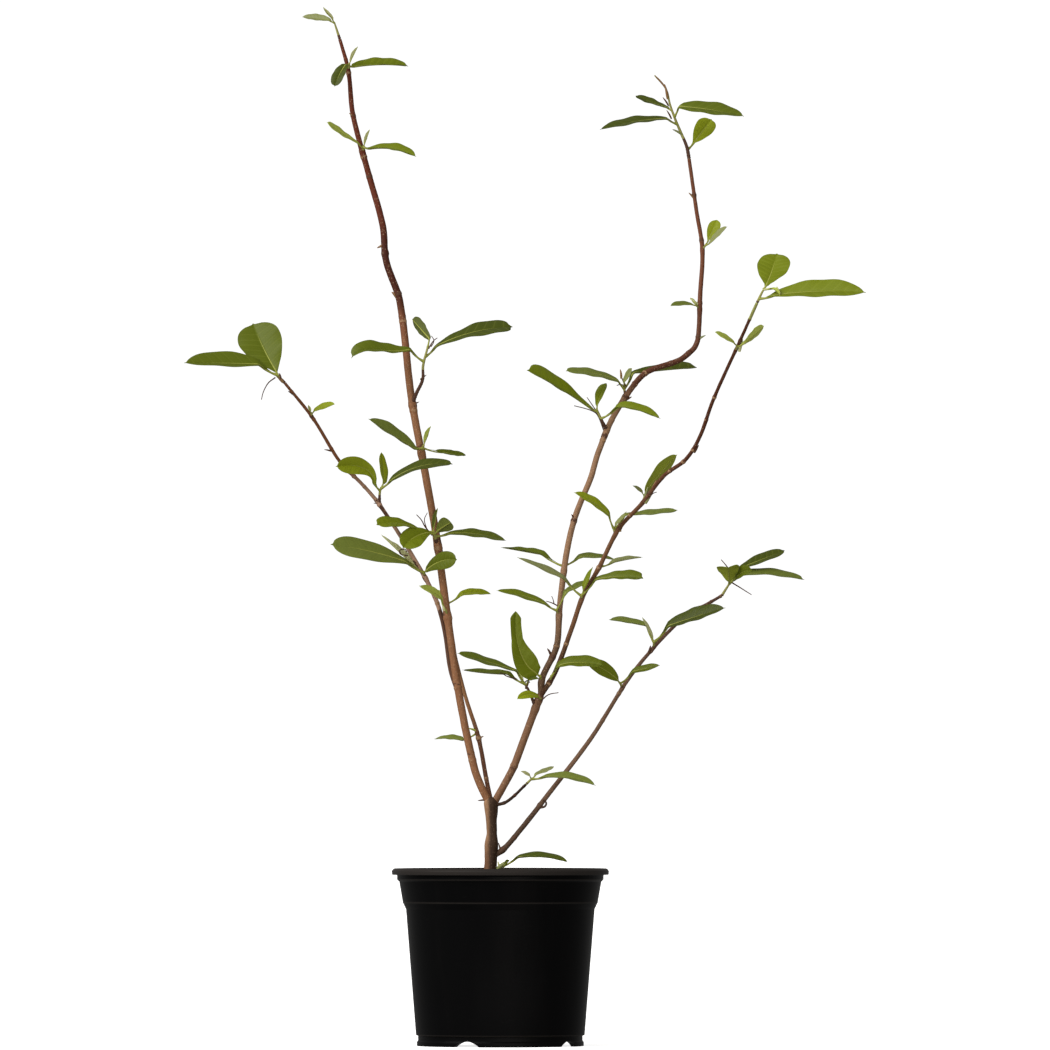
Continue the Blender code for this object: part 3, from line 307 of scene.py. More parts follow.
SPRAYS: dict[str, tuple[SprayPlan, ...]] = {
    "trunk": (
        SprayPlan("trunk_sprout_leaves", 12, ((8.5, -2, 2.5), (13, -3, 5.5)), 2.6, 1.8, 0.3, (
            Leaf(13.5, (16, -1, 9.5), (51, -14, -5), 20, 16, 3, OVAL, OLIVE),
            Leaf(13.5, (3, -4, 2.5), (4, -9, 4), 4, 90, 1, LANCE, OLIVE),
        )),
    ),
    "left_stem": (
        SprayPlan("left_stem_tip_leaves", 801, ((-5.5, 2, 17),), 3, 1.6, 0.2, (
            Leaf(17, (-5.5, 0, 3), (-28, 10, 4), 11, -38, 0, OVAL, SOFT),
            Leaf(17, (-2.5, -3, 5), (-9, -8, 11), 6, 0, -0.5, LANCE, PALE),
        )),
        SprayPlan("left_stem_upper_leaves", 766, ((1, -4, 8.5),), 3, 2.2, 0.3, (
            Leaf(5.5, (5.5, 4.5, 0), (55, 16, 1), 22, 22, 2, STRAP, GREEN),
            Leaf(7.5, (-3.5, -5, -0.5), (-11, -14, -23), 13, -15, 1.5, STRAP, OLIVE),
            Leaf(8, (1.5, -0.5, 4), (7, 6, 14), 6, -66, 0, LANCE, PALE),
        )),
        SprayPlan("left_stem_middle_leaves", 680, ((1, -5, 8),), 3, 2.2, 0.3, (
            Leaf(5.5, (-5, -5, 5.5), (-32, -12, 21), 15, -31, -1, OBOVATE, FRESH),
            Leaf(7.5, (6, -5, -2), (48, -17, -9), 20, 18, 4, OVAL, GREEN),
            Leaf(8.5, (1, 0.5, 3.5), (5, 7, 14), 6, -81, 0, LANCE, PALE),
        )),
        SprayPlan("left_stem_spur_leaves", 413, (
            (4, -7, 10.5), (10.5, -12, 24.5), (11, -14, 38.5), (16, -15, 58.5),
        ), 3.8, 2.2, 0.62, (
            Leaf(48, (-14.5, -3, 12), (-59, -17, -9), 24, -32, 7, OBOVATE, DEEP, 0.75),
            Leaf(53, (12, 4.5, 11.5), (77, 18, 20), 31, 26, 4.5, WEDGE, OLIVE),
            Leaf(63, (2, 3, 9), (-18, 28, 21), 15, 88, 0, OBOVATE, OLIVE),
        )),
        SprayPlan("left_stem_fan_leaves", 361, ((2.5, -6, 8.5),), 3.2, 2.2, 0.4, (
            Leaf(6.5, (-8, -5.5, -1), (-47, -18, 30), 22, -38, 0, OVAL, DUSKY),
            Leaf(9.5, (1, -0.5, 4), (6, 10, 16), 7, -90, 0, LANCE, FRESH),
            Leaf(6.5, (22.5, 7.5, -4.5), (21, 14, -2), 10, 38, -0.5, STRAP, DEEP),
        )),
        SprayPlan("left_stem_rosette", 264, ((-2.5, -5, 8), (-4.5, -9, 15)), 4.4, 3.2, 0.5, (
            Leaf(11.5, (15.5, 3, 3), (57, 17, -7), 23, 28, 3, OBOVATE, DEEP),
            Leaf(17, (-15.5, -7.5, 2.5), (-42, -24, 4), 18, -32, 4, WEDGE, GREEN),
            Leaf(14.5, (-6, -6.5, 1), (-25.5, -22, -16), 23, -54, 3.5, OBOVATE, GREEN),
            Leaf(14, (4, -7, 3.5), (13.5, -24, 8), 16, -47, 0.5, OBOVATE, DEEP),
            Leaf(17, (0, -0.5, 4.5), (4, 7, 20), 8, -90, 0, LANCE, DEEP),
        )),
        SprayPlan("left_stem_lower_leaves", 191, ((-1.5, -6, 6.5),), 3, 2.2, 0.4, (
            Leaf(7.5, (-5.5, -5, 13.5), (-22, -16, 12), 11, -58, 1.5, LANCE, FRESH),
        )),
    ),
    "left_branch": (
        SprayPlan("left_branch_tip_leaves", 385, ((-8, -4, 9),), 3, 2, 0.3, (
            Leaf(11, (-1.5, -0.5, 4), (-24, 38, 49), 44, -27, -2, ROUND, DEEP),
            Leaf(10, (-20, -6, 11), (-74, -17, 1), 29, -32, 0.5, OVAL, DEEP),
        )),
        SprayPlan("left_branch_outer_leaves", 332, ((-0.5, -5, 4.5),), 2.4, 1.8, 0.3, (
            Leaf(4, (3, -4, 3.5), (21, -15, 6), 10, 49, 0.5, OVAL, BRIGHT),
            Leaf(5.5, (-1, -3, 2), (-2, -5, 6), 3, 14, 0, LANCE, PALE),
        )),
        SprayPlan("left_branch_spur_leaves", 209, (
            (0.5, -4, 12.5), (2, -5, 17.5),
        ), 3.2, 2.2, 0.55, (
            Leaf(14.5, (-6.5, -6.5, 8), (-38, -23, 16), 18, -85, 10, OBOVATE, BRIGHT, 0.35),
            Leaf(17, (3.5, 2.5, 7.5), (-3, 18, 30), 13, 42, -0.5, OVAL, BRIGHT),
            Leaf(17, (12, -4.5, 9.5), (61, -6, 15), 24, 27, 6, STRAP, OLIVE),
        )),
        SprayPlan("left_branch_fork_leaves", 121, ((-0.5, -5.5, 5.5),), 3.2, 2.4, 0.4, (
            Leaf(5.5, (-19.5, -10, 11.5), (-75, -22, 17), 30, -44, 2, OBOVATE, DUSKY),
            Leaf(6.5, (2.5, -7.5, 2), (31, -28, 10), 18, 88, 4, ROUND, DEEP),
            Leaf(4.5, (-15, 0, 13), (-29, 17, 27), 16, 2, 0, LANCE, PALE),
        )),
    ),
    "back_stem": (
        SprayPlan("back_stem_low_leaf", 64, ((-3, 3.5, 5.5),), 2.4, 1.6, 0.2, (
            Leaf(6, (-14, 2, -6.5), (-29, 9, 1), 12, -20, 1.5, LANCE, DUSKY),
        )),
        SprayPlan("back_stem_tip_leaves", 206, ((-0.5, 4, 7.5),), 2.6, 1.8, 0.3, (
            Leaf(5, (16, 5.5, 10), (29, 10, 0), 12, 31, 1.5, OVAL, BRIGHT),
            Leaf(7.5, (-3, 8.5, 5), (-24, 38, 10), 17, -1, 0, OVAL, FRESH),
        )),
    ),
    "right_stem": (
        SprayPlan("right_fork_low_leaf", 113, ((2.5, -8.5, 1),), 2.4, 1.8, 0.3, (
            Leaf(7.5, (-3, -4, 2.5), (-21, -13, -3), 9, -61, 3, OVAL, BRIGHT),
        )),
        SprayPlan("right_fork_spur_leaves", 104, ((-7, -6, 17.5), (-12, -8, 25.5)), 3.4, 2.2, 0.9, (
            Leaf(28, (-8, -6.5, 13), (-60, -14, 18), 24, -23, 0.5, OBOVATE, DEEP),
            Leaf(28, (-17.5, 5.5, 10.5), (-46, 22, 4), 19, -15, -1, OVAL, DEEP),
            Leaf(26, (2.5, -4.5, 6), (11, -12, 1), 6, 47, 0, LANCE, OLIVE),
            Leaf(28, (-2, 1.5, 4.5), (-7, 10, 16), 7, 78, 0, LANCE, PALE),
        )),
    ),
    "upper_right_stem": (
        SprayPlan("right_fork_tall_leaf", 16, ((-1.5, -6, 5.5),), 3, 2.2, 0.3, (
            Leaf(7, (-5, -4, 4), (-20, -9, 62), 25, -90, -9, PEAR, GREEN, 0.42),
        )),
        SprayPlan("upper_right_low_leaves", 87, ((-3, -5, 6),), 2.8, 2, 0.4, (
            Leaf(6.5, (-12, -5, 7), (-49, -13, 13), 20, -28, 2, OVAL, GREEN),
            Leaf(7, (9.5, -4, 18.5), (25, 20, 12), 13, 12, 0.5, OBOVATE, DUSKY),
        )),
        SprayPlan("upper_right_lower_leaves", 133, ((0.5, 5, 6.5),), 2.6, 2, 0.4, (
            Leaf(5.5, (-23.5, 5.5, 13), (-41, 15, 7), 17, -12, 0, LANCE, DEEP),
            Leaf(6.5, (17, 6, 9.5), (37, 16, -4), 15, 26, 2, OVAL, DUSKY),
        )),
        SprayPlan("upper_right_spur_leaves", 289, (
            (-5, -7, 8.5), (-11, -10, 21.5),
        ), 3.6, 2.4, 0.6, (
            Leaf(23.5, (-7, -4.5, 3.5), (-65, -20, 38), 30, -35, 1.5, WEDGE, GREEN),
            Leaf(25.5, (0.5, 1.5, 6), (8, 22, 22), 12, -10, -0.5, OBOVATE, GREEN),
            Leaf(15.5, (15.5, -11.5, 9.5), (45, -11, -10), 18, 26, 4.5, OVAL, GREEN, 0.3),
        )),
        SprayPlan("upper_right_bend_leaves", 330, ((-2.5, 2, 10),), 3.2, 2.2, 0.5, (
            Leaf(8, (-6, -7, 8), (-53.5, -20.5, 9.5), 20, -29, 3, STRAP, DUSKY),
            Leaf(9.5, (0, -11, 6), (8, -11, 13), 7, 90, 0, ROUND, SOFT),
            Leaf(8, (10, 22.5, 17), (65, 22, 6), 26, 16, 0.5, WEDGE, OLIVE),
        )),
    ),
    "upper_right_shoot": (
        SprayPlan("shoot_low_leaf", 50, ((-4.5, -5, 4.5),), 2.4, 1.6, 0.2, (
            Leaf(6.5, (-4.5, -3, 1), (-22, -13, -2), 9, -31, 1, OVAL, DUSKY),
            Leaf(6.5, (-1, 1, 2), (-5, 7, 6), 4, 90, 0, LANCE, SOFT),
        )),
        SprayPlan("shoot_middle_leaves", 114, ((4, -4, 5.5),), 2.4, 1.8, 0.2, (
            Leaf(6, (4.5, 6, 9), (7.5, 11, 18), 13, 26, -0.5, OBOVATE, BRIGHT),
            Leaf(6, (5, -5, 3), (17, -10, 16), 9, 54, 0.5, OVAL, SOFT),
        )),
        SprayPlan("shoot_tip_leaves", 211, (
            (-2.5, 1, 12.5), (-9, 3, 28), (-15, 3, 42.5), (-19.5, 3, 55.5), (-23.5, 3, 71),
            (-35.5, 2, 85.5),
        ), 3.6, 1.4, 0.22, (
            Leaf(9, (10, 9, 12), (15, 16.5, 20.5), 20, 39, 0, ROUND, BRIGHT),
            Leaf(45.5, (5, -7, 10.5), (66, -20, -11), 27, 32, 1.5, OVAL, DEEP),
            Leaf(37.5, (-10.5, -5, 5.5), (-69, -16, -12), 27, -17, 2.5, OVAL, OLIVE),
            Leaf(52.5, (-5, 3, 3.5), (-32, 18, 13), 15, -16, -1, OBOVATE, OLIVE),
        )),
    ),
    "outer_right_stem": (
        SprayPlan("right_fork_side_leaf", 19, ((1.5, -7, 6),), 2.6, 2, 0.4, (
            Leaf(8, (5, -7, 8), (47, -13, 3), 20, 34, 5, STRAP, DEEP, 0.35),
        )),
        SprayPlan("outer_right_low_leaves", 110, ((1, -6, 6.5),), 3, 2.2, 0.4, (
            Leaf(5, (-18.5, -5.5, 18.5), (-47, -7, 21), 20, -18, 0, LANCE, SOFT),
            Leaf(7.5, (13.5, -10, 15), (48, -13, 1), 19, 33, 2.5, WEDGE, DEEP),
            Leaf(7.5, (1.5, -5, 7), (9, -6, 21), 9, 67, 0, LANCE, GREEN),
        )),
        SprayPlan("outer_right_lower_leaf", 147, ((5, 5, 4),), 2.2, 1.6, 0.3, (
            Leaf(5, (13, 5, 5), (29, 16, 5), 13, 11, 0.5, LANCE, SOFT),
        )),
        SprayPlan("outer_right_middle_leaves", 188, ((-2.5, -1, 7),), 3, 2.2, 0.4, (
            Leaf(6.5, (-5, -8, 14), (-35, -11, 22), 16, -43, 2.5, OVAL, BRIGHT),
            Leaf(5, (12, 9.5, 15.5), (53, 19, 5), 21, 12, -1, OBOVATE, DUSKY),
            Leaf(6.5, (2, -8, 4), (11, -7, 13), 7, 51, -0.5, LANCE, SOFT),
        )),
        SprayPlan("outer_right_upper_leaves", 234, ((2, 3, 7.5),), 3, 2.2, 0.4, (
            Leaf(7, (1, 4.5, 5.5), (32, 23, 37), 21, -66, 0.5, OVAL, BRIGHT),
            Leaf(7, (-3, -2.5, 4.5), (-9, -8, 6), 5, -69, 0, LANCE, SOFT),
        )),
        SprayPlan("outer_right_high_leaves", 438, ((2, -9, 4),), 2.4, 1.8, 0.2, (
            Leaf(9, (-4, -5, 4), (-19, -11, 10), 9, -45, 0.5, OVAL, FRESH),
            Leaf(7.5, (7, -5.5, 3.5), (20, 15, 18), 12, -58, -0.5, OBOVATE, FRESH),
        )),
        SprayPlan("outer_right_tip_leaves", 499, ((4, -2, 8.5), (7, -3, 14)), 3, 1.8, 0.1, (
            Leaf(14.5, (3, 0, 5.5), (11, 37, 32), 33, 11, -2, ROUND, GREEN),
            Leaf(4, (16.5, -6, 3.5), (90, -15, 2), 31, 32, 2.5, OVAL, GREEN),
            Leaf(14, (8.5, -4.5, 1.5), (8, -7, -8), 5, 12, 1.5, LANCE, FRESH),
        )),
    ),
    "low_branch": (
        SprayPlan("low_branch_middle_leaves", 225, ((-2.5, -6, 6),), 2.8, 2, 0.4, (
            Leaf(7.5, (-3.5, -6, 4.5), (-31, -25, 17), 15, -90, 2, OVAL, GREEN),
            Leaf(7, (13, -11.5, 12.5), (27, -10, 6), 11, 39, 0, OVAL, DEEP),
        )),
        SprayPlan("low_branch_upper_leaves", 281, ((0.5, -7, 6.5),), 3, 2.2, 0.3, (
            Leaf(7, (-8, 9, 18), (-38, 14, 6), 16, -18, 0.5, OBOVATE, DUSKY),
            Leaf(8.5, (-2, -2, 5.5), (-10, -6, 20), 8, -53, -0.5, LANCE, PALE),
            Leaf(8.5, (15, -14, 16.5), (57, -22, 18), 24, 36, 0.5, OVAL, OLIVE),
        )),
        SprayPlan("low_branch_tip_leaves", 376, ((6, -1, 9.5), (9, -2, 14)), 3, 2, 0.1, (
            Leaf(14.5, (-0.5, -6, 2.5), (-1, -20, 14), 23, 0, 1.5, WEDGE, BRIGHT),
            Leaf(15.5, (5, -6, 4), (17, -30, 8), 13, 78, 3, OVAL, DEEP),
            Leaf(15.5, (5, 1, 4), (71.5, 15, -0.5), 20, 22, 6, STRAP, DUSKY, 0.35),
            Leaf(15.5, (12.5, 6, 16), (44, 22, 18), 20, 21, 0, OBOVATE, OLIVE),
        )),
    ),
    "short_twig": (
        SprayPlan("short_twig_tip_leaves", 44, ((5.5, -2, 5.5),), 2.6, 2, 0.2, (
            Leaf(7, (15, -3.5, 2.5), (50, -11, -9), 20, 20, 3, OVAL, DUSKY),
            Leaf(7, (-1.5, -3.5, 4), (-9, -9, 4), 5, -56, 0, LANCE, PALE),
            Leaf(7, (5, 3.5, 5), (18, 14, 8), 9, 13, -0.5, OVAL, SOFT),
        )),
    ),
}

BUDS: dict[str, tuple[Bud, ...]] = {
    "trunk": (
        Bud((-2.5, -2.5, 180), 11.5, 8, 5.6, SOFT),
        Bud((-1.5, -2.5, 180), -1, 7.5, 3, PALE),
        Bud((-15, -0.5, 249), -8, -0.5, 2.4, UMBER),
    ),
    "left_stem": (
        Bud((-149.5, 83.5, 945), -5, 5, 3, DRY),
        Bud((-118.5, 68, 814.5), -7.5, -3, 3.4, DRY),
        Bud((-118.5, 68, 814), 5, -9, 3.4, DRY),
        Bud((-106.5, 59.5, 761.5), -4.5, 5, 4, DRY),
        Bud((-88.5, 37.5, 651), 6, 3, 2.2, UMBER),
        Bud((-80.5, 25.5, 677), 5.5, 4, 2.2, UMBER),
        Bud((-57, 0, 442), -3, 8.5, 3.2, PALE),
    ),
    "left_branch": (
        Bud((-219.5, -91, 671), -6.5, 6, 4.6, DRY),
        Bud((-221.5, -92, 673), -1, 6.5, 3.4, UMBER),
        Bud((-171.5, -41.5, 602), -6.5, 1.5, 2.2, UMBER),
        Bud((-209.5, -81, 658.5), -4.5, 3, 2.4, UMBER),
        Bud((-122.5, -10, 549), -6, 1, 2.2, UMBER),
    ),
    "back_stem": (
        Bud((-24.5, 17, 319), -8, 3, 3, FRESH),
        Bud((-21.5, 16, 311.5), 4.5, 2.5, 2.6, DRY),
    ),
    "right_stem": (
        Bud((15, 0.5, 285), 4, 1.5, 3, DRY),
        Bud((26, -4, 363), 3, 6.5, 3, UMBER),
    ),
    "upper_right_stem": (
        Bud((51, 9, 396.5), -3.5, 6.5, 3.4, UMBER),
        Bud((76, 32, 533), -4, 6.5, 3.2, UMBER),
        Bud((129, 70, 657), 5, 3, 2.6, UMBER),
        Bud((127, 69, 654), 5.5, -0.5, 2.4, DRY),
        Bud((123, 64.5, 679.5), -1, 8.5, 3.2, DRY),
        Bud((101.5, 55.5, 612), 6.5, 4, 2.6, DRY),
    ),
    "upper_right_shoot": (
        Bud((203, 101.5, 754), -9.5, 7, 3, PALE),
        Bud((202.5, 92, 719.5), 7, 4, 2.8, SOFT),
        Bud((197.5, 128, 865), -5, 5.5, 2.8, DRY),
        Bud((171, 139.5, 968), -3, 14.5, 3.6, DRY),
        Bud((169, 139.5, 978.5), -11, 13, 2.6, DRY),
        Bud((171.5, 139.5, 961), -5.5, 8, 2.4, UMBER),
        Bud((174.5, 135.5, 947.5), -4.5, 8, 2.4, UMBER),
        Bud((185, 139, 931), -9, 5, 3, SOFT),
    ),
    "outer_right_stem": (
        Bud((121, -49, 521.5), -1.5, 8, 4, DRY),
        Bud((147, -65.5, 549.5), 7, 12, 4.4, SOFT),
        Bud((151, -69, 557.5), 7, 15, 4.2, DRY),
        Bud((146, -63, 554.5), 3, 11, 3.6, SOFT),
        Bud((196, -97, 600), 4, 7, 3, UMBER),
        Bud((240, -161.5, 700), 3, 14, 4.4, PALE),
        Bud((264.5, -195, 760), 13.5, 1, 3, PALE),
        Bud((277, -199, 761.5), 4, -8.5, 2.6, PALE),
    ),
    "low_branch": (
        Bud((151, 74, 398), 2, 8.5, 3.6, UMBER),
        Bud((0.5, 0, 196), -2.5, 10, 2.6, UMBER),
    ),
}

THREADS: dict[str, tuple[Thread, ...]] = {
    "left_stem": (
        Thread(1.7, ((-73, 23, 707.5), (-68.5, 21.5, 715), (-64, 20.5, 718.5))),
        Thread(1.4, ((-70.5, 22.5, 709.5), (-67.5, 21.5, 715.5), (-70, 20.5, 720.5))),
        Thread(1.9, ((-69, 4, 517.5), (-76.5, 3, 526.5), (-80, 1.5, 533), (-85, 0.5, 538.5))),
        Thread(1.4, ((-74.5, 0.5, 523.5), (-77, -0.5, 533.5), (-74, -2, 540.5))),
    ),
    "left_branch": (
        Thread(1.9, (
            (-94, 4, 497), (-101, 2.5, 498.5), (-102, 1.5, 502.5), (-97, 0.5, 503.5),
            (-94.5, -1, 500.5),
        )),
        Thread(1.6, (
            (-226.5, -94, 675), (-233.5, -95.5, 669.5), (-238.5, -96.5, 660.5),
            (-240.5, -97.5, 652.5),
        )),
    ),
    "right_stem": (
        Thread(1.7, ((41.5, -2.5, 350), (49, -3.5, 356), (59, -4.5, 358))),
        Thread(1.7, ((17, -2.5, 371.5), (7, -3.5, 374.5), (0, -4.5, 378.5))),
        Thread(1.6, ((24, -4.5, 367), (27.5, -6, 370.5), (30, -7, 368))),
    ),
    "upper_right_stem": (
        Thread(1.6, ((57.5, 10, 446.5), (52.5, 8.5, 449), (46.5, 7.5, 451))),
        Thread(1.4, ((54.5, 9, 448), (53.5, 7.5, 452.5), (52, 6.5, 456))),
        Thread(1.7, ((105.5, 60, 625), (98.5, 58.5, 641.5), (91.5, 57.5, 646), (75, 56, 650.5))),
        Thread(1.6, ((101.5, 52.5, 638), (95.5, 51, 648), (88, 50, 659))),
        Thread(1.6, ((127, 70.5, 670.5), (123, 69.5, 672.5), (118.5, 68, 671.5))),
        Thread(2.2, ((128, 75.5, 670.5), (125, 74.5, 676.5), (122.5, 73, 681.5))),
    ),
    "outer_right_stem": (
        Thread(1.4, ((151, -68, 555), (154, -69.5, 558.5), (158, -70.5, 560))),
    ),
    "low_branch": (
        Thread(2.8, ((40.5, 11, 241.5), (45, 10, 242.5), (46.5, 8.5, 246.5), (43.5, 7.5, 249))),
        Thread(1.7, ((233.5, 110, 481.5), (232, 109, 486.5), (225.5, 107.5, 494.5))),
        Thread(1.7, ((236.5, 108, 471), (245.5, 107, 465.5), (256.5, 105.5, 458.5))),
    ),
}

# How far apart a limb's solid has its stations, and how far back a bud's tip lies, in mm.
SOLID_STEP = 26.0
BUD_LEAN = -1.0


# --- Shader nodes ---


class Wire:
    """A shader socket that takes part in sums with numbers and with other sockets."""

    def __init__(self, bench: "Bench", socket: bpy.types.NodeSocket) -> None:
        """Keeps the socket and the bench that it belongs to."""
        self.bench = bench
        self.socket = socket

    def _maths(self, operation: str, first: "Wire | float", second: "Wire | float") -> "Wire":
        """The result of one Math node with this operation on the two values."""
        return self.bench.node("Math", {"operation": operation}, {0: first, 1: second})

    def __add__(self, other: "Wire | float") -> "Wire":
        """self + other."""
        return self._maths("ADD", self, other)

    def __radd__(self, other: float) -> "Wire":
        """other + self."""
        return self._maths("ADD", other, self)

    def __rsub__(self, other: float) -> "Wire":
        """other - self."""
        return self._maths("SUBTRACT", other, self)

    def __mul__(self, other: "Wire | float") -> "Wire":
        """self * other."""
        return self._maths("MULTIPLY", self, other)

    def ramp(self, low: float, high: float) -> "Wire":
        """An eased ramp that is 0 up to low and 1 from high on."""
        values = {"Value": self, "From Min": low, "From Max": high, "To Min": 0.0, "To Max": 1.0}
        return self.bench.node("MapRange", {"interpolation_type": "SMOOTHSTEP"}, values)


Value = Wire | float | Sequence[float]


class Bench:
    """Lays nodes in one shader tree and wires them up."""

    def __init__(self, tree: bpy.types.NodeTree) -> None:
        """Clears the tree and keeps it."""
        self.tree = tree
        self.tree.nodes.clear()

    def node(
        self,
        kind: str,
        settings: dict[str, object] | None = None,
        values: dict[str | int, Value] | None = None,
        out: str | int = 0,
    ) -> Wire | None:
        """Adds one node of any kind.

        Args:
            kind: The node's type, without the ShaderNode before it.
            settings: Its settings, which are set first.
            values: A number or a link for each of its input sockets.
            out: The output that is wanted.

        Returns:
            That output, or nothing where the node has none.
        """
        made = self.tree.nodes.new("ShaderNode" + kind)
        for setting, value in (settings or {}).items():
            setattr(made, setting, value)
        for socket, value in (values or {}).items():
            self.feed(made.inputs[socket], value)
        return Wire(self, made.outputs[out]) if made.outputs else None

    def feed(self, socket: bpy.types.NodeSocket, value: Value) -> None:
        """Links a wire to a socket, or sets a number or an opaque colour on it.

        Args:
            socket: The input.
            value: A wire, a number or a row of numbers.
        """
        if isinstance(value, Wire):
            self.tree.links.new(value.socket, socket)
        else:
            socket.default_value = (*value, 1.0) if socket.type == "RGBA" else value


class MaterialBench(Bench):
    """Builds the nodes of one material, from its coordinates to its Principled shader."""

    def __init__(self, name: str) -> None:
        """Starts a material with nothing but a shader and an output.

        Args:
            name: The material's name.
        """
        self.material = bpy.data.materials.new(name)
        self.material.use_nodes = True
        super().__init__(self.material.node_tree)
        shader = self.node("BsdfPrincipled")
        self.sockets = shader.socket.node.inputs
        self.node("OutputMaterial", {}, {"Surface": shader})

    def surface(self, **values: Value) -> Material:
        """Sets the shader's own sockets.

        Args:
            **values: A value for each socket, with _ for a space in its name.

        Returns:
            The finished material.
        """
        for name, value in values.items():
            self.feed(self.sockets[name.replace("_", " ")], value)
        return self.material

    def place(self) -> Wire:
        """The surface's own place, in metres."""
        return self.node("TexCoord", out="Object")

    def axis(self, name: str) -> Wire:
        """How far along X, Y or Z the surface lies, in metres."""
        return self.node("SeparateXYZ", {}, {"Vector": self.place()}, name)

    def waves(self, scale: Triple) -> dict[str, Value]:
        """A pattern's inputs, with that many waves a metre in each direction."""
        place = self.node("Mapping", {}, {"Vector": self.place(), "Scale": scale})
        return {"Vector": place, "Scale": 1.0}

    def grain(self, scale: Triple, detail: float = 3.0, roughness: float = 0.55) -> Wire:
        """Soft noise from 0 to 1: waves a metre, how many finer layers, and how strong they are."""
        layers = {"Detail": detail, "Roughness": roughness}
        return self.node("TexNoise", {}, self.waves(scale) | layers)

    def flecks(self, scale: Triple, size: float) -> Wire:
        """1 in the middle of soft dots, which fill that share of the space, and 0 between them."""
        away = self.node("TexVoronoi", {"feature": "F1"}, self.waves(scale), "Distance")
        return 1.0 - away.ramp(size * 0.6, size)

    def blend(self, share: Wire, first: Wire | Colour, second: Wire | Colour) -> Wire:
        """The first colour with that share of the second in it."""
        return self.node("Mix", {"data_type": "RGBA"}, {0: share, 6: first, 7: second}, 2)

    def relief(self, height: Wire, depth: float, strength: float = 1.0) -> Wire:
        """The normal of a bump from 0 to 1, depth metres deep, of which strength shows."""
        values = {"Height": height, "Distance": depth, "Strength": strength}
        return self.node("Bump", {}, values)


# --- Finishes ---


def scaled(colour: Colour, share: float) -> Colour:
    """The colour, lighter or darker by that share."""
    return tuple(min(1.0, part * share) for part in colour)


def between(first: Colour, second: Colour, share: float) -> Colour:
    """A colour that lies that share of the way from the first to the second."""
    return tuple(a + (b - a) * share for a, b in zip(first, second))


@dataclass(frozen=True)
class MouldedPlastic:
    """Black moulded polypropylene: a fine skin, flow lines, a little dirt and scuffs, with painted
    light on the lip's face and painted highlight lines along the corners above its steps.
    """

    colour: Colour = (0.0022, 0.0022, 0.0024)
    dust_and_highlight_colour: Colour = (0.0270, 0.0235, 0.0215)
    # Heights of the painted light on the lip's face and of the painted highlight lines at the
    # corners, in metres, and how strong each is.
    rim: tuple[float, float] = (0.1728, 0.1742)
    rim_highlight: float = 0.9
    edges: tuple[float, ...] = (0.1686, 0.1454, 0.0110)
    edge_reach: float = 0.0012
    edge_highlight: float = 0.65
    roughness: float = 0.30

    def make(self) -> Material:
        """Builds the material.

        Returns:
            The material.
        """
        bench = MaterialBench("black_moulded_plastic")
        skin = bench.grain((900.0, 900.0, 900.0), detail=2.0)
        flow = bench.grain((26.0, 26.0, 5.0), detail=4.0)
        scuff = bench.grain((60.0, 60.0, 340.0), detail=5.0, roughness=0.7).ramp(0.60, 0.78)
        height = bench.axis("Z")
        # Painted light and highlights: the lip's face and narrow bands at the rounded corners over
        # the steps are lightened towards the pale colour, where light would catch them.
        painted_highlight = height.ramp(*self.rim) * self.rim_highlight
        for edge in self.edges:
            past = height.ramp(edge, edge + self.edge_reach)
            inside = height.ramp(edge - self.edge_reach, edge) * (1.0 - past)
            painted_highlight = painted_highlight + inside * self.edge_highlight
        dust_and_highlight = flow.ramp(0.45, 0.85) * 0.07 + scuff * 0.08 + painted_highlight
        return bench.surface(
            Base_Color=bench.blend(dust_and_highlight, self.colour, self.dust_and_highlight_colour),
            Roughness=self.roughness + flow * 0.08 + scuff * 0.10,
            Normal=bench.relief(skin * 0.6 + flow * 0.4, 0.00008, 0.4),
            Specular_IOR_Level=0.04,
        )


@dataclass(frozen=True)
class PeatFinish:
    """Damp dark peat with lighter fibres."""

    peat: Colour = (0.030, 0.019, 0.012)
    fibre: Colour = (0.115, 0.072, 0.042)

    def make(self) -> Material:
        """Builds the material.

        Returns:
            The material.
        """
        bench = MaterialBench("growing_mix_peat")
        clod = bench.grain((140.0, 140.0, 140.0), detail=6.0, roughness=0.7)
        strand = bench.grain((900.0, 260.0, 900.0)).ramp(0.60, 0.74)
        light = strand * 0.55 + clod.ramp(0.5, 0.8) * 0.3
        return bench.surface(
            Base_Color=bench.blend(light, self.peat, self.fibre),
            Roughness=0.94 - clod * 0.12,
            Normal=bench.relief(clod * 0.7 + strand * 0.3, 0.0012),
        )


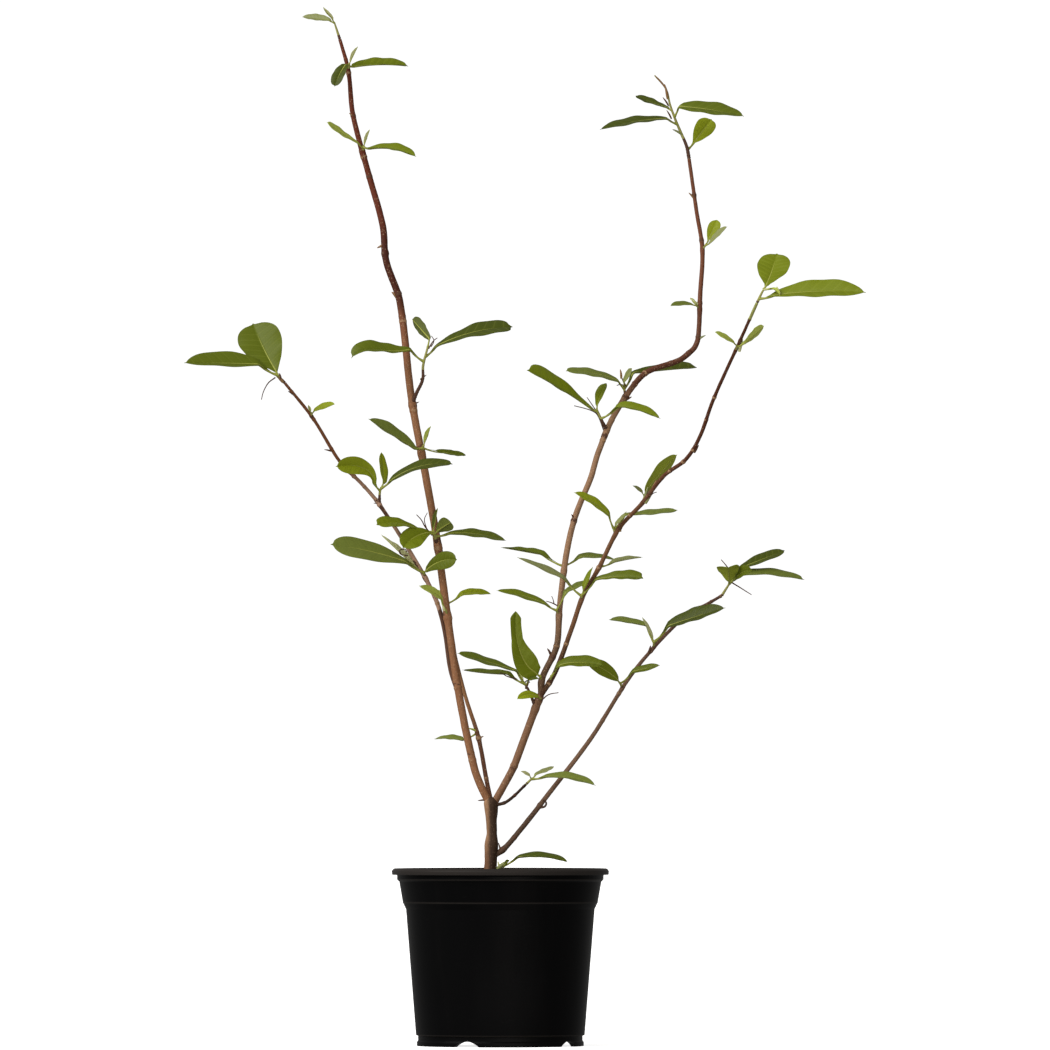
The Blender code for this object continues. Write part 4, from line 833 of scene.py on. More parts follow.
@dataclass(frozen=True)
class BarkFinish:
    """Young bark: it turns from one colour to another with height, with grain and pale pores.

    Its right side may carry painted shade where X passes shaded_side, and its wood is dark below
    foot's heights and between the heights of dark_span. The shares say how dark each of them is.
    """

    lower: Colour
    upper: Colour
    low: float
    high: float
    pore: Colour = (0.52, 0.36, 0.22)
    pores: float = 0.5
    roughness: float = 0.62
    shaded_side: tuple[float, float] | None = None
    dark_span: tuple[float, float, float, float] | None = None
    foot: tuple[float, float] | None = None
    worn_share: float = 0.52
    side_share: float = 0.15
    span_share: float = 0.30
    foot_share: float = 0.22

    def make(self, name: str) -> Material:
        """Builds the material.

        Args:
            name: The material's name.

        Returns:
            The material.
        """
        bench = MaterialBench(name)
        grain = bench.grain((1300.0, 1300.0, 150.0), detail=4.0, roughness=0.6)
        blotch = bench.grain((120.0, 120.0, 46.0))
        pore = bench.flecks((520.0, 520.0, 300.0), 0.26)
        rise = bench.axis("Z").ramp(self.low, self.high)
        skin = bench.blend(rise, self.lower, self.upper)
        darks = (scaled(colour, self.worn_share) for colour in (self.lower, self.upper))
        wear = (1.0 - grain).ramp(0.38, 0.66) * 0.55 + blotch.ramp(0.52, 0.75) * 0.35
        worn_and_shaded = bench.blend(wear, skin, bench.blend(rise, *darks))
        if self.shaded_side:
            # Painted shade: past shaded_side in X, the right side is blended towards a dark share
            # of the lower colour.
            side = (bench.axis("X") + blotch * 0.004).ramp(*self.shaded_side)
            worn_and_shaded = bench.blend(side * 0.93, worn_and_shaded, scaled(self.lower, self.side_share))
        if self.dark_span:
            place = bench.axis("Z") + blotch * 0.02
            inside = place.ramp(*self.dark_span[:2]) * (1.0 - place.ramp(*self.dark_span[2:]))
            worn_and_shaded = bench.blend(inside * 0.75, worn_and_shaded, scaled(self.upper, self.span_share))
        if self.foot:
            old = 1.0 - (bench.axis("Z") + blotch * 0.01).ramp(*self.foot)
            worn_and_shaded = bench.blend(old * 0.7, worn_and_shaded, scaled(self.lower, self.foot_share))
        return bench.surface(
            Base_Color=bench.blend(pore * self.pores, worn_and_shaded, self.pore),
            Roughness=self.roughness + grain * 0.14,
            Normal=bench.relief(grain * 0.65 + pore * 0.35, 0.00030, 0.7),
            IOR=1.30,
        )


@dataclass(frozen=True)
class GrainedFinish:
    """A skin with one fine grain in its roughness and its height, and maybe in its colour.

    Hollows wear that share of the colour, which rises to its own over mottle, two values of the
    grain. A share of 1 leaves the colour plain.
    """

    scale: Triple
    detail: float
    roughness: float
    rough_spread: float
    depth: float
    strength: float = 1.0
    hollow: float = 1.0
    mottle: tuple[float, float] = (0.3, 0.7)
    specular: float = 0.5

    def make(self, name: str, colour: Colour, roughness: float | None = None) -> Material:
        """Builds the material.

        Args:
            name: The material's name.
            colour: Its colour.
            roughness: Its roughness, where it isn't the finish's own.

        Returns:
            The material.
        """
        bench = MaterialBench(name)
        grain = bench.grain(self.scale, self.detail)
        rough = self.roughness if roughness is None else roughness
        base = colour
        if self.hollow < 1.0:
            base = bench.blend(grain.ramp(*self.mottle), scaled(colour, self.hollow), colour)
        return bench.surface(
            Base_Color=base,
            Roughness=rough + grain * self.rough_spread,
            Normal=bench.relief(grain, self.depth, self.strength),
            Specular_IOR_Level=self.specular,
        )


CRUMB = GrainedFinish(
    (700.0, 700.0, 1500.0), 4.0, 0.82, 0.12, depth=0.0006, hollow=0.6, mottle=(0.3, 0.75)
)
CORK = GrainedFinish(
    (1500.0, 1500.0, 900.0), 3.0, 0.80, 0.10, depth=0.00035, strength=0.8, hollow=0.68
)
SKIN = GrainedFinish((1800.0, 1800.0, 700.0), 3.0, 0.55, 0.14, depth=0.00018, strength=0.6)
LEAF_SKIN = GrainedFinish(
    (1500.0, 1500.0, 1500.0), 2.0, 0.42, 0.12, depth=0.00010, strength=0.35, specular=0.22
)
UNDERSIDE_ROUGHNESS = 0.64
UNDER_VEIN_ROUGHNESS = 0.60
VEIN_COLOUR = (0.42, 0.45, 0.08)
UPPER_VEIN_SHARE = 0.06
UNDER_VEIN_SHARE = 0.12

CRUMB_COLOURS: dict[str, Colour] = {
    "bark_chip": (0.150, 0.082, 0.042),
    "pale_grit": (0.520, 0.500, 0.440),
    "dark_crumb": (0.045, 0.028, 0.018),
}

SCAR_COLOURS: dict[Scar, Colour] = {
    Scar.PALE: (0.400, 0.235, 0.120),
    Scar.DARK: (0.120, 0.050, 0.024),
    Scar.GREEN: (0.360, 0.370, 0.095),
}

BARKS: dict[Bark, BarkFinish] = {
    # The trunk carries painted shade on its right side, through shaded_side.
    Bark.TRUNK: BarkFinish(
        (0.190, 0.088, 0.044), (0.370, 0.205, 0.110), 0.185, 0.215,
        pores=0.16, shaded_side=(-0.0125, -0.0075),
    ),
    Bark.LEFT: BarkFinish(
        (0.300, 0.136, 0.062), (0.146, 0.031, 0.013), 0.66, 0.80,
        dark_span=(0.745, 0.775, 0.825, 0.860),
    ),
    Bark.OLD: BarkFinish((0.232, 0.116, 0.060), (0.248, 0.129, 0.068), 0.25, 0.42),
    Bark.BACK: BarkFinish((0.150, 0.062, 0.031), (0.370, 0.178, 0.076), 0.310, 0.350),
    Bark.TAN: BarkFinish(
        (0.330, 0.185, 0.102), (0.115, 0.038, 0.018), 0.650, 0.678, foot=(0.400, 0.455)
    ),
    Bark.RED: BarkFinish((0.140, 0.050, 0.026), (0.180, 0.060, 0.028), 0.71, 0.80, pores=0.25),
    Bark.DARK: BarkFinish(
        (0.197, 0.088, 0.039), (0.098, 0.030, 0.012), 0.50, 0.60, pores=0.3, foot=(0.395, 0.440)
    ),
    Bark.BRANCH: BarkFinish((0.490, 0.295, 0.200), (0.235, 0.084, 0.033), 0.555, 0.60, pores=0.3),
    Bark.TWIG: BarkFinish(
        (0.210, 0.118, 0.070), (0.135, 0.065, 0.040), 0.36, 0.43, pores=0.3, foot=(0.235, 0.265)
    ),
    Bark.SHORT: BarkFinish((0.040, 0.018, 0.009), (0.034, 0.013, 0.006), 0.24, 0.28, pores=0.15),
}

LEAF_COLOURS: dict[Tone, tuple[Colour, Colour]] = {
    OLIVE: ((0.057, 0.075, 0.003), (0.099, 0.119, 0.028)),
    DEEP: ((0.101, 0.130, 0.004), (0.148, 0.181, 0.029)),
    GREEN: ((0.155, 0.195, 0.004), (0.209, 0.253, 0.029)),
    DUSKY: ((0.149, 0.185, 0.029), (0.202, 0.242, 0.057)),
    BRIGHT: ((0.245, 0.296, 0.006), (0.309, 0.367, 0.031)),
    FRESH: ((0.407, 0.479, 0.075), (0.491, 0.571, 0.109)),
    SOFT: ((0.239, 0.261, 0.097), (0.303, 0.327, 0.133)),
    PALE: ((0.576, 0.591, 0.279), (0.680, 0.697, 0.337)),
    DRY: ((0.250, 0.135, 0.055), (0.330, 0.220, 0.110)),
    UMBER: ((0.085, 0.034, 0.016), (0.120, 0.050, 0.024)),
}


def leaf_surfaces(tone: Tone) -> tuple[Material, ...]:
    """Builds the four faces of a leaf, from the colours of its upper side and its underside.

    Args:
        tone: The colour family that the leaf belongs to.

    Returns:
        Upper side, veins above, underside and veins below, in slot order.
    """
    upper, under = LEAF_COLOURS[tone]
    sides = {
        "upper_side": (upper, None),
        "upper_vein": (between(upper, VEIN_COLOUR, UPPER_VEIN_SHARE), None),
        "underside": (under, UNDERSIDE_ROUGHNESS),
        "under_vein": (between(under, VEIN_COLOUR, UNDER_VEIN_SHARE), UNDER_VEIN_ROUGHNESS),
    }
    return tuple(LEAF_SKIN.make(f"{tone.value}_{side}", *look) for side, look in sides.items())


class Wardrobe:
    """Every material, made once and handed out by name."""

    def __init__(self) -> None:
        """Makes the materials."""
        self.pot = MouldedPlastic().make()
        self.peat = PeatFinish().make()
        self.crumbs = [CRUMB.make(name, colour) for name, colour in CRUMB_COLOURS.items()]
        self.barks = {kind: finish.make(kind.value) for kind, finish in BARKS.items()}
        self.scars = [CORK.make(kind.value, colour) for kind, colour in SCAR_COLOURS.items()]
        self.leaves = {tone: leaf_surfaces(tone) for tone in Tone}
        self.stalk = SKIN.make("stalk_skin", (0.300, 0.325, 0.045))
        self.spur_wood = SKIN.make("spur_wood", (0.085, 0.034, 0.017), 0.68)
        self.spur_green = SKIN.make("spur_green_skin", (0.300, 0.290, 0.070))
        self.thread = SKIN.make("dry_thread", (0.085, 0.036, 0.020), 0.7)


# --- Modelling bench ---


def deselect() -> None:
    """Leaves object mode with nothing selected and nothing active."""
    if bpy.context.mode != "OBJECT":
        bpy.ops.object.mode_set(mode="OBJECT")
    bpy.ops.object.select_all(action="DESELECT")
    bpy.context.view_layer.objects.active = None


def take(*pieces: Piece) -> None:
    """Selects these pieces alone and makes the first one active.

    Args:
        *pieces: The pieces.
    """
    deselect()
    for piece in pieces:
        piece.select_set(True)
    bpy.context.view_layer.objects.active = pieces[0]


def fresh(name: str) -> Piece:
    """Names the primitive that was just added.

    Args:
        name: The name of its object and its mesh.

    Returns:
        The primitive.
    """
    piece = bpy.context.active_object
    piece.name = name
    piece.data.name = name
    return piece


def edit(piece: Piece, select: str = "VERT") -> None:
    """Opens the piece in edit mode with nothing selected.

    Args:
        piece: The piece.
        select: VERT, EDGE or FACE.
    """
    take(piece)
    bpy.ops.object.mode_set(mode="EDIT")
    bpy.ops.mesh.select_mode(type=select)
    bpy.ops.mesh.select_all(action="DESELECT")


def pick_edges(piece: Piece, test: Callable[[Vector, Vector], bool]) -> None:
    """Selects edges by the places of their ends and stays in edit mode.

    Args:
        piece: The piece, which is open in edit mode.
        test: Says whether an edge with these two ends is taken.
    """
    bpy.ops.mesh.select_mode(type="EDGE")
    bpy.ops.mesh.select_all(action="DESELECT")
    bpy.ops.object.mode_set(mode="OBJECT")
    corners = [vertex.co for vertex in piece.data.vertices]
    for edge in piece.data.edges:
        edge.select = test(corners[edge.vertices[0]], corners[edge.vertices[1]])
    bpy.ops.object.mode_set(mode="EDIT")


def apply_modifier(piece: Piece, kind: str, **settings: object) -> None:
    """Adds a modifier to the piece and applies it.

    Args:
        piece: The piece.
        kind: The modifier's type.
        **settings: What is set on it first.
    """
    take(piece)
    step = piece.modifiers.new(kind.lower(), kind)
    for setting, value in settings.items():
        setattr(step, setting, value)
    bpy.ops.object.modifier_apply(modifier=step.name)


def rows_of(items: bpy.types.bpy_prop_collection, what: str) -> Array:
    """Reads one place of every vertex or face.

    Args:
        items: A mesh's vertices or faces.
        what: The name of the place.

    Returns:
        The places as rows of three.
    """
    flat = np.empty(len(items) * 3)
    items.foreach_get(what, flat)
    return flat.reshape(-1, 3)


def corners_of(mesh: Mesh) -> Array:
    """The mesh's vertices as rows of three."""
    return rows_of(mesh.vertices, "co")


def face_middles(mesh: Mesh) -> Array:
    """The middles of the mesh's faces as rows of three."""
    return rows_of(mesh.polygons, "center")


def move_corners(mesh: Mesh, places: Array) -> None:
    """Moves every vertex of the mesh to its row's place."""
    mesh.vertices.foreach_set("co", np.ascontiguousarray(places, dtype=np.float32).ravel())
    mesh.update()


def give_slots(mesh: Mesh, slots: Array) -> None:
    """Gives each face its material slot."""
    mesh.polygons.foreach_set("material_index", np.ascontiguousarray(slots, dtype=np.int32))


def twin(blank: Piece, name: str) -> Piece:
    """Copies a blank.

    Args:
        blank: What is copied.
        name: The copy's name.

    Returns:
        The copy, with its own mesh.
    """
    copy = bpy.data.objects.new(name, blank.data.copy())
    bpy.context.scene.collection.objects.link(copy)
    return copy


def discard(pieces: Iterable[Piece]) -> None:
    """Removes helper pieces and their meshes.

    Args:
        pieces: The helpers.
    """
    for piece in list(pieces):
        mesh = piece.data
        bpy.data.objects.remove(piece, do_unlink=True)
        bpy.data.meshes.remove(mesh)


def dress(piece: Piece, *materials: Material) -> None:
    """Gives the piece its materials and leaves each face in its slot.

    Args:
        piece: The piece.
        *materials: Its materials, in slot order.
    """
    slots = np.empty(len(piece.data.polygons), np.int32)
    piece.data.polygons.foreach_get("material_index", slots)
    piece.data.materials.clear()
    for material in materials:
        piece.data.materials.append(material)
    give_slots(piece.data, slots)


def joined(name: str, pieces: Sequence[Piece]) -> Piece:
    """Joins the pieces into one.

    Args:
        name: The name of the whole.
        pieces: At least one piece.

    Returns:
        The whole.
    """
    take(*pieces)
    if len(pieces) > 1:
        bpy.ops.object.join()
    return fresh(name)


def settle(piece: Piece, nodes: Sequence[str], smooth: float = 40.0) -> None:
    """Smooths a finished piece, hangs it on the body, hides the solids that it replaces and logs
    its size.

    Args:
        piece: The finished piece.
        nodes: The solids that it replaces.
        smooth: Edges sharper than this stay sharp, in degrees.
    """
    take(piece)
    bpy.ops.object.transform_apply()
    bpy.ops.object.shade_smooth_by_angle(angle=math.radians(smooth))
    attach(piece, ROOT)
    if nodes:
        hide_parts(*nodes)
    triangles = sum(len(face.vertices) - 2 for face in piece.data.polygons)
    log.info("%-26s %7d triangles, %d materials", piece.name, triangles, len(piece.data.materials))


def rounded(left: Array, least: float) -> Array:
    """The share of its width that a round tip keeps where this share of its length is left."""
    return np.sqrt(np.clip(1.0 - (1.0 - np.clip(left, 0.0, 1.0)) ** 2, least, 1.0))


# --- Routes and tubes ---


@dataclass
class Route:
    """A smooth line as close stations, with two directions across it at each."""

    points: Array
    lengths: Array = field(init=False)
    ahead: Array = field(init=False)
    side: Array = field(init=False)
    over: Array = field(init=False)

    def __post_init__(self) -> None:
        """Measures the line and carries the two directions along it without turning them."""
        steps = np.diff(self.points, axis=0)
        self.lengths = np.concatenate([[0.0], np.cumsum(np.linalg.norm(steps, axis=1))])
        ahead = np.gradient(self.points, axis=0)
        self.ahead = ahead / np.linalg.norm(ahead, axis=1)[:, None]
        first = np.cross(self.ahead[0], (0.0, 1.0, 0.0))
        if np.linalg.norm(first) < 0.1:
            first = np.cross(self.ahead[0], (1.0, 0.0, 0.0))
        sides = [first / np.linalg.norm(first)]
        for direction in self.ahead[1:]:
            carried = sides[-1] - direction * (sides[-1] @ direction)
            sides.append(carried / np.linalg.norm(carried))
        self.side = np.array(sides)
        self.over = np.cross(self.ahead, self.side)

    @classmethod
    def through(cls, places: Sequence[Sequence[float]], step: float = 1.6) -> "Route":
        """A curve through the places.

        Args:
            places: Places on the line, in mm.
            step: About how far apart its stations are, in mm.

        Returns:
            The route, in metres.
        """
        knots = [np.array(place, float) for place in places]
        knots = [2 * knots[0] - knots[1], *knots, 2 * knots[-1] - knots[-2]]
        points = []
        for before, start, end, after in zip(knots, knots[1:], knots[2:], knots[3:]):
            span = np.linalg.norm(end - start)
            count = max(2, round(span / step))
            leave = (end - before) * span / np.linalg.norm(end - before)
            arrive = (after - start) * span / np.linalg.norm(after - start)
            for t in np.arange(count) / count:
                points.append(
                    start * (2 * t**3 - 3 * t**2 + 1)
                    + leave * (t**3 - 2 * t**2 + t)
                    + end * (3 * t**2 - 2 * t**3)
                    + arrive * (t**3 - t**2)
                )
        points.append(knots[-2])
        return cls(np.array(points) * MM)

    @property
    def length(self) -> float:
        """The line's whole length."""
        return float(self.lengths[-1])

    def read(self, rows: Array, distance: Array) -> Array:
        """Rows of points or directions, read at distances along the line."""
        return np.stack([np.interp(distance, self.lengths, rows[:, axis]) for axis in range(3)], -1)

    def at(self, distance: float) -> Array:
        """The point that lies that far along."""
        return self.read(self.points, np.array([distance]))[0]

    def bounded(self, distance: float) -> float:
        """The distance, kept on the line."""
        return min(max(distance, 0.0), self.length)


class TubeShop:
    """Makes ringed tubes: each kind of blank is modelled once and every tube is a copy of one."""

    def __init__(self, wardrobe: Wardrobe) -> None:
        """Keeps the materials and starts with no blanks."""
        self.wardrobe = wardrobe
        self.blanks: dict[tuple[int, int], Piece] = {}

    def blank(self, sides: int, rings: int) -> Piece:
        """A cylinder one metre long and in radius, cut into rings along its length.

        Args:
            sides: How many sides it has.
            rings: About how many rings it is cut into.

        Returns:
            The blank, which is kept for the next tube of that kind.
        """
        outer = max(1, round(math.sqrt(rings)))
        inner = max(1, math.ceil(rings / outer))
        key = (sides, outer * inner)
        if key not in self.blanks:
            deselect()
            bpy.ops.mesh.primitive_cylinder_add(
                vertices=sides, radius=1.0, depth=1.0, end_fill_type="TRIFAN"
            )
            blank = fresh("tube_blank")
            for cuts in (outer - 1, inner - 1):
                if cuts:
                    edit(blank, "EDGE")
                    pick_edges(blank, lambda a, b: abs(a.z - b.z) > 1e-5)
                    bpy.ops.mesh.subdivide(number_cuts=cuts)
            bpy.ops.object.mode_set(mode="OBJECT")
            self.blanks[key] = blank
        return self.blanks[key]

    def shares(self, sides: int, rings: int) -> tuple[Array, Array]:
        """How far along and at which angle each face of such a blank lies."""
        middles = face_middles(self.blank(sides, rings).data)
        return middles[:, 2] + 0.5, np.arctan2(middles[:, 1], middles[:, 0])

    def tube(
        self,
        name: str,
        route: Route,
        radius: Callable[[Array], Array],
        sides: int,
        rings: int,
        relief: Callable[[Array, Array], Array] | None = None,
    ) -> Piece:
        """Lays a blank along a route.

        Args:
            name: The tube's name.
            route: The line of its middle.
            radius: Its radius at distances along the line.
            sides: How many sides it has.
            rings: About how many rings.
            relief: What is added to the radius at distances and angles.

        Returns:
            The tube, closed at both ends.
        """
        blank = self.blank(sides, rings)
        piece = twin(blank, name)
        unit = corners_of(blank.data)
        distance = (unit[:, 2] + 0.5) * route.length
        reach = np.minimum(1.0, np.hypot(unit[:, 0], unit[:, 1]))
        angle = np.arctan2(unit[:, 1], unit[:, 0])
        wide = radius(distance)
        if relief is not None:
            wide = wide + relief(distance, angle)
        side, over = route.read(route.side, distance), route.read(route.over, distance)
        across = side * np.cos(angle)[:, None] + over * np.sin(angle)[:, None]
        middle = route.read(route.points, distance)
        move_corners(piece.data, middle + across * (wide * reach)[:, None])
        return piece

    def close(self) -> None:
        """Clears the blanks away."""
        discard(self.blanks.values())
        self.blanks.clear()


# --- Pot and growing mix ---


def filleted(profile: Sequence[Triple], steps: int) -> list[Triple]:
    """Rounds the corners of a profile.

    Args:
        profile: Radius, height and corner radius of each corner, in mm.
        steps: How many pieces a rounded corner has.

    Returns:
        Points in metres in the XZ plane.
    """
    corners = [Vector((radius, height)) for radius, height, _ in profile]
    line = [corners[0]]
    for index in range(1, len(corners) - 1):
        before = corners[index - 1] - corners[index]
        after = corners[index + 1] - corners[index]
        turn = before.angle(after)
        cut = profile[index][2] / max(1e-6, math.tan(turn / 2))
        cut = min(cut, before.length * 0.48, after.length * 0.48)
        start = corners[index] + before.normalized() * cut
        end = corners[index] + after.normalized() * cut
        if profile[index][2] <= 0.0:
            line.append(corners[index])
            continue
        for step in range(steps + 1):
            t = step / steps
            line.append(start * (1 - t) ** 2 + corners[index] * 2 * t * (1 - t) + end * t**2)
    line.append(corners[-1])
    return [(point.x * MM, 0.0, point.y * MM) for point in line]


def turned(name: str, outline: Sequence[Triple], steps: int) -> Piece:
    """Draws an outline by extruding a point, and spins it about Z into a closed shell.

    Args:
        name: The piece's name.
        outline: Points in the XZ plane that start and end on the axis.
        steps: How many steps the turn has.

    Returns:
        The shell, with its faces outwards.
    """
    deselect()
    bpy.ops.mesh.primitive_plane_add(size=0.01, location=outline[0])
    piece = fresh(name)
    bpy.ops.object.transform_apply()
    edit(piece)
    bpy.ops.mesh.select_all(action="SELECT")
    bpy.ops.mesh.merge(type="CENTER")
    for start, end in zip(outline, outline[1:]):
        step = tuple(b - a for a, b in zip(start, end))
        bpy.ops.mesh.extrude_region_move(TRANSFORM_OT_translate={"value": step})
    bpy.ops.mesh.select_all(action="SELECT")
    bpy.ops.mesh.spin(
        steps=steps, angle=math.tau, center=(0.0, 0.0, 0.0), axis=(0.0, 0.0, 1.0)
    )
    bpy.ops.mesh.select_all(action="SELECT")
    bpy.ops.mesh.remove_doubles(threshold=2e-5)
    bpy.ops.mesh.normals_make_consistent(inside=False)
    bpy.ops.object.mode_set(mode="OBJECT")
    return piece


@dataclass
class Pot:
    """A 22 cm nursery pot: turned-down lip, collar, straight band, tapering body and foot ring."""

    height: float = 180.0
    wall: float = 1.8
    lip: float = 220.4
    lip_drop: float = 6.6
    collar: float = 209.4
    collar_foot: float = 168.0
    band: float = 204.8
    band_foot_width: float = 197.6
    band_foot: float = 145.0
    body: float = 191.2
    body_top: float = 138.6
    body_foot_width: float = 171.0
    body_foot: float = 11.0
    groove: float = 166.8
    foot: float = 169.2
    foot_ring: float = 6.2
    floor_rise: float = 6.0
    floor_top: float = 8.4
    pad: float = 44.0
    notch_bearings: tuple[float, ...] = (-24.0, 56.0, 124.0, 204.0)
    notch_width: float = 27.0
    notch_height: float = 5.7
    notch_depth: float = 24.0
    drain_holes: int = 8
    drain_reach: float = 58.0
    drain_depth: float = 8.0
    drain_width: float = 9.0
    corner_steps: int = 4
    turn_steps: int = 160

    def profile(self) -> list[Triple]:
        """Draws the wall from the inner floor, over the rim, to the middle underneath.

        Returns:
            Radius, height and corner radius of each corner, in mm.
        """
        lip, collar, band = self.lip / 2, self.collar / 2, self.band / 2
        shoulder, body, foot = self.band_foot_width / 2, self.body / 2, self.body_foot_width / 2
        groove, ring, wall, top = self.groove / 2, self.foot / 2, self.wall, self.height
        under = top - self.lip_drop
        return [
            (0.0, self.floor_top, 0.0),
            (groove - 2 * wall, self.floor_top, 0.8),
            (foot - wall, self.floor_top + 4.0, 3.0),
            (body - wall, self.body_top, 3.0),
            (shoulder - wall, self.band_foot, 3.0),
            (band - wall, self.collar_foot, 1.0),
            (collar - wall - 0.4, top - 0.8, 0.8),
            (collar - wall + 0.6, top, 0.5),
            (lip - 2.2, top - 0.1, 2.2),
            (lip, top - 2.6, 2.0),
            (lip - 0.4, under, 0.7),
            (lip - 1.6, under, 0.3),
            (lip - 1.8, under + 4.4, 0.3),
            (collar + 1.2, under + 4.4, 0.6),
            (collar, under - 1.4, 0.6),
            (collar, self.collar_foot + 0.6, 0.7),
            (band, self.collar_foot - 1.6, 0.9),
            (shoulder, self.band_foot + 0.3, 1.3),
            (body, self.body_top, 1.6),
            (foot, self.body_foot, 0.7),
            (groove, self.body_foot - 0.6, 0.4),
            (groove, self.floor_rise - 0.2, 0.4),
            (ring, self.floor_rise - 1.8, 0.5),
            (ring, 0.0, 0.8),
            (ring - self.foot_ring, 0.0, 0.8),
            (ring - self.foot_ring - 0.8, self.floor_rise, 0.6),
            (self.pad / 2, self.floor_rise, 0.6),
            (self.pad / 2, 0.0, 0.6),
            (0.0, 0.0, 0.0),
        ]

    @staticmethod
    def cutter(
        radius: float, depth: float, place: Triple, sides: int, turn: Triple = (0.0, 0.0, 0.0)
    ) -> Piece:
        """Sets up a round cutter.

        Args:
            radius: Its radius in mm.
            depth: Its length in mm.
            place: Its middle in mm.
            sides: How many sides it has.
            turn: How it is turned, in radians.

        Returns:
            The cutter.
        """
        deselect()
        bpy.ops.mesh.primitive_cylinder_add(
            vertices=sides,
            radius=radius * MM,
            depth=depth * MM,
            location=tuple(part * MM for part in place),
            rotation=turn,
        )
        return fresh("cutter")

    def cut_notches(self, shell: Piece) -> None:
        """Cuts the arched notches through the foot ring and the drain holes through the floor.

        Args:
            shell: The pot.
        """
        rise = self.notch_height
        radius = ((self.notch_width / 2) ** 2 + rise**2) / (2 * rise)
        reach = self.foot / 2 - self.foot_ring / 2
        cutters = []
        for bearing in self.notch_bearings:
            angle = math.radians(bearing - 90.0)
            place = (reach * math.cos(angle), reach * math.sin(angle), rise - radius)
            turn = (0.0, math.radians(90.0), angle)
            cutters.append(self.cutter(radius, self.notch_depth, place, 64, turn))
        reach = self.drain_reach
        for index in range(self.drain_holes):
            angle = math.tau * (index + 0.5) / self.drain_holes
            place = (reach * math.cos(angle), reach * math.sin(angle), self.floor_rise)
            cutters.append(self.cutter(self.drain_width / 2, self.drain_depth, place, 24))
        tool = joined("foot_cutters", cutters)
        bpy.ops.object.transform_apply()
        apply_modifier(shell, "BOOLEAN", operation="DIFFERENCE", object=tool, solver="EXACT")
        discard([tool])

    def build(self, wardrobe: Wardrobe) -> None:
        """Turns the pot, cuts its foot and dresses it.

        Args:
            wardrobe: Every material.
        """
        outline = filleted(self.profile(), self.corner_steps)
        shell = turned("pot_shell", outline, self.turn_steps)
        self.cut_notches(shell)
        dress(shell, wardrobe.pot)
        settle(shell, ["pot"], smooth=32.0)


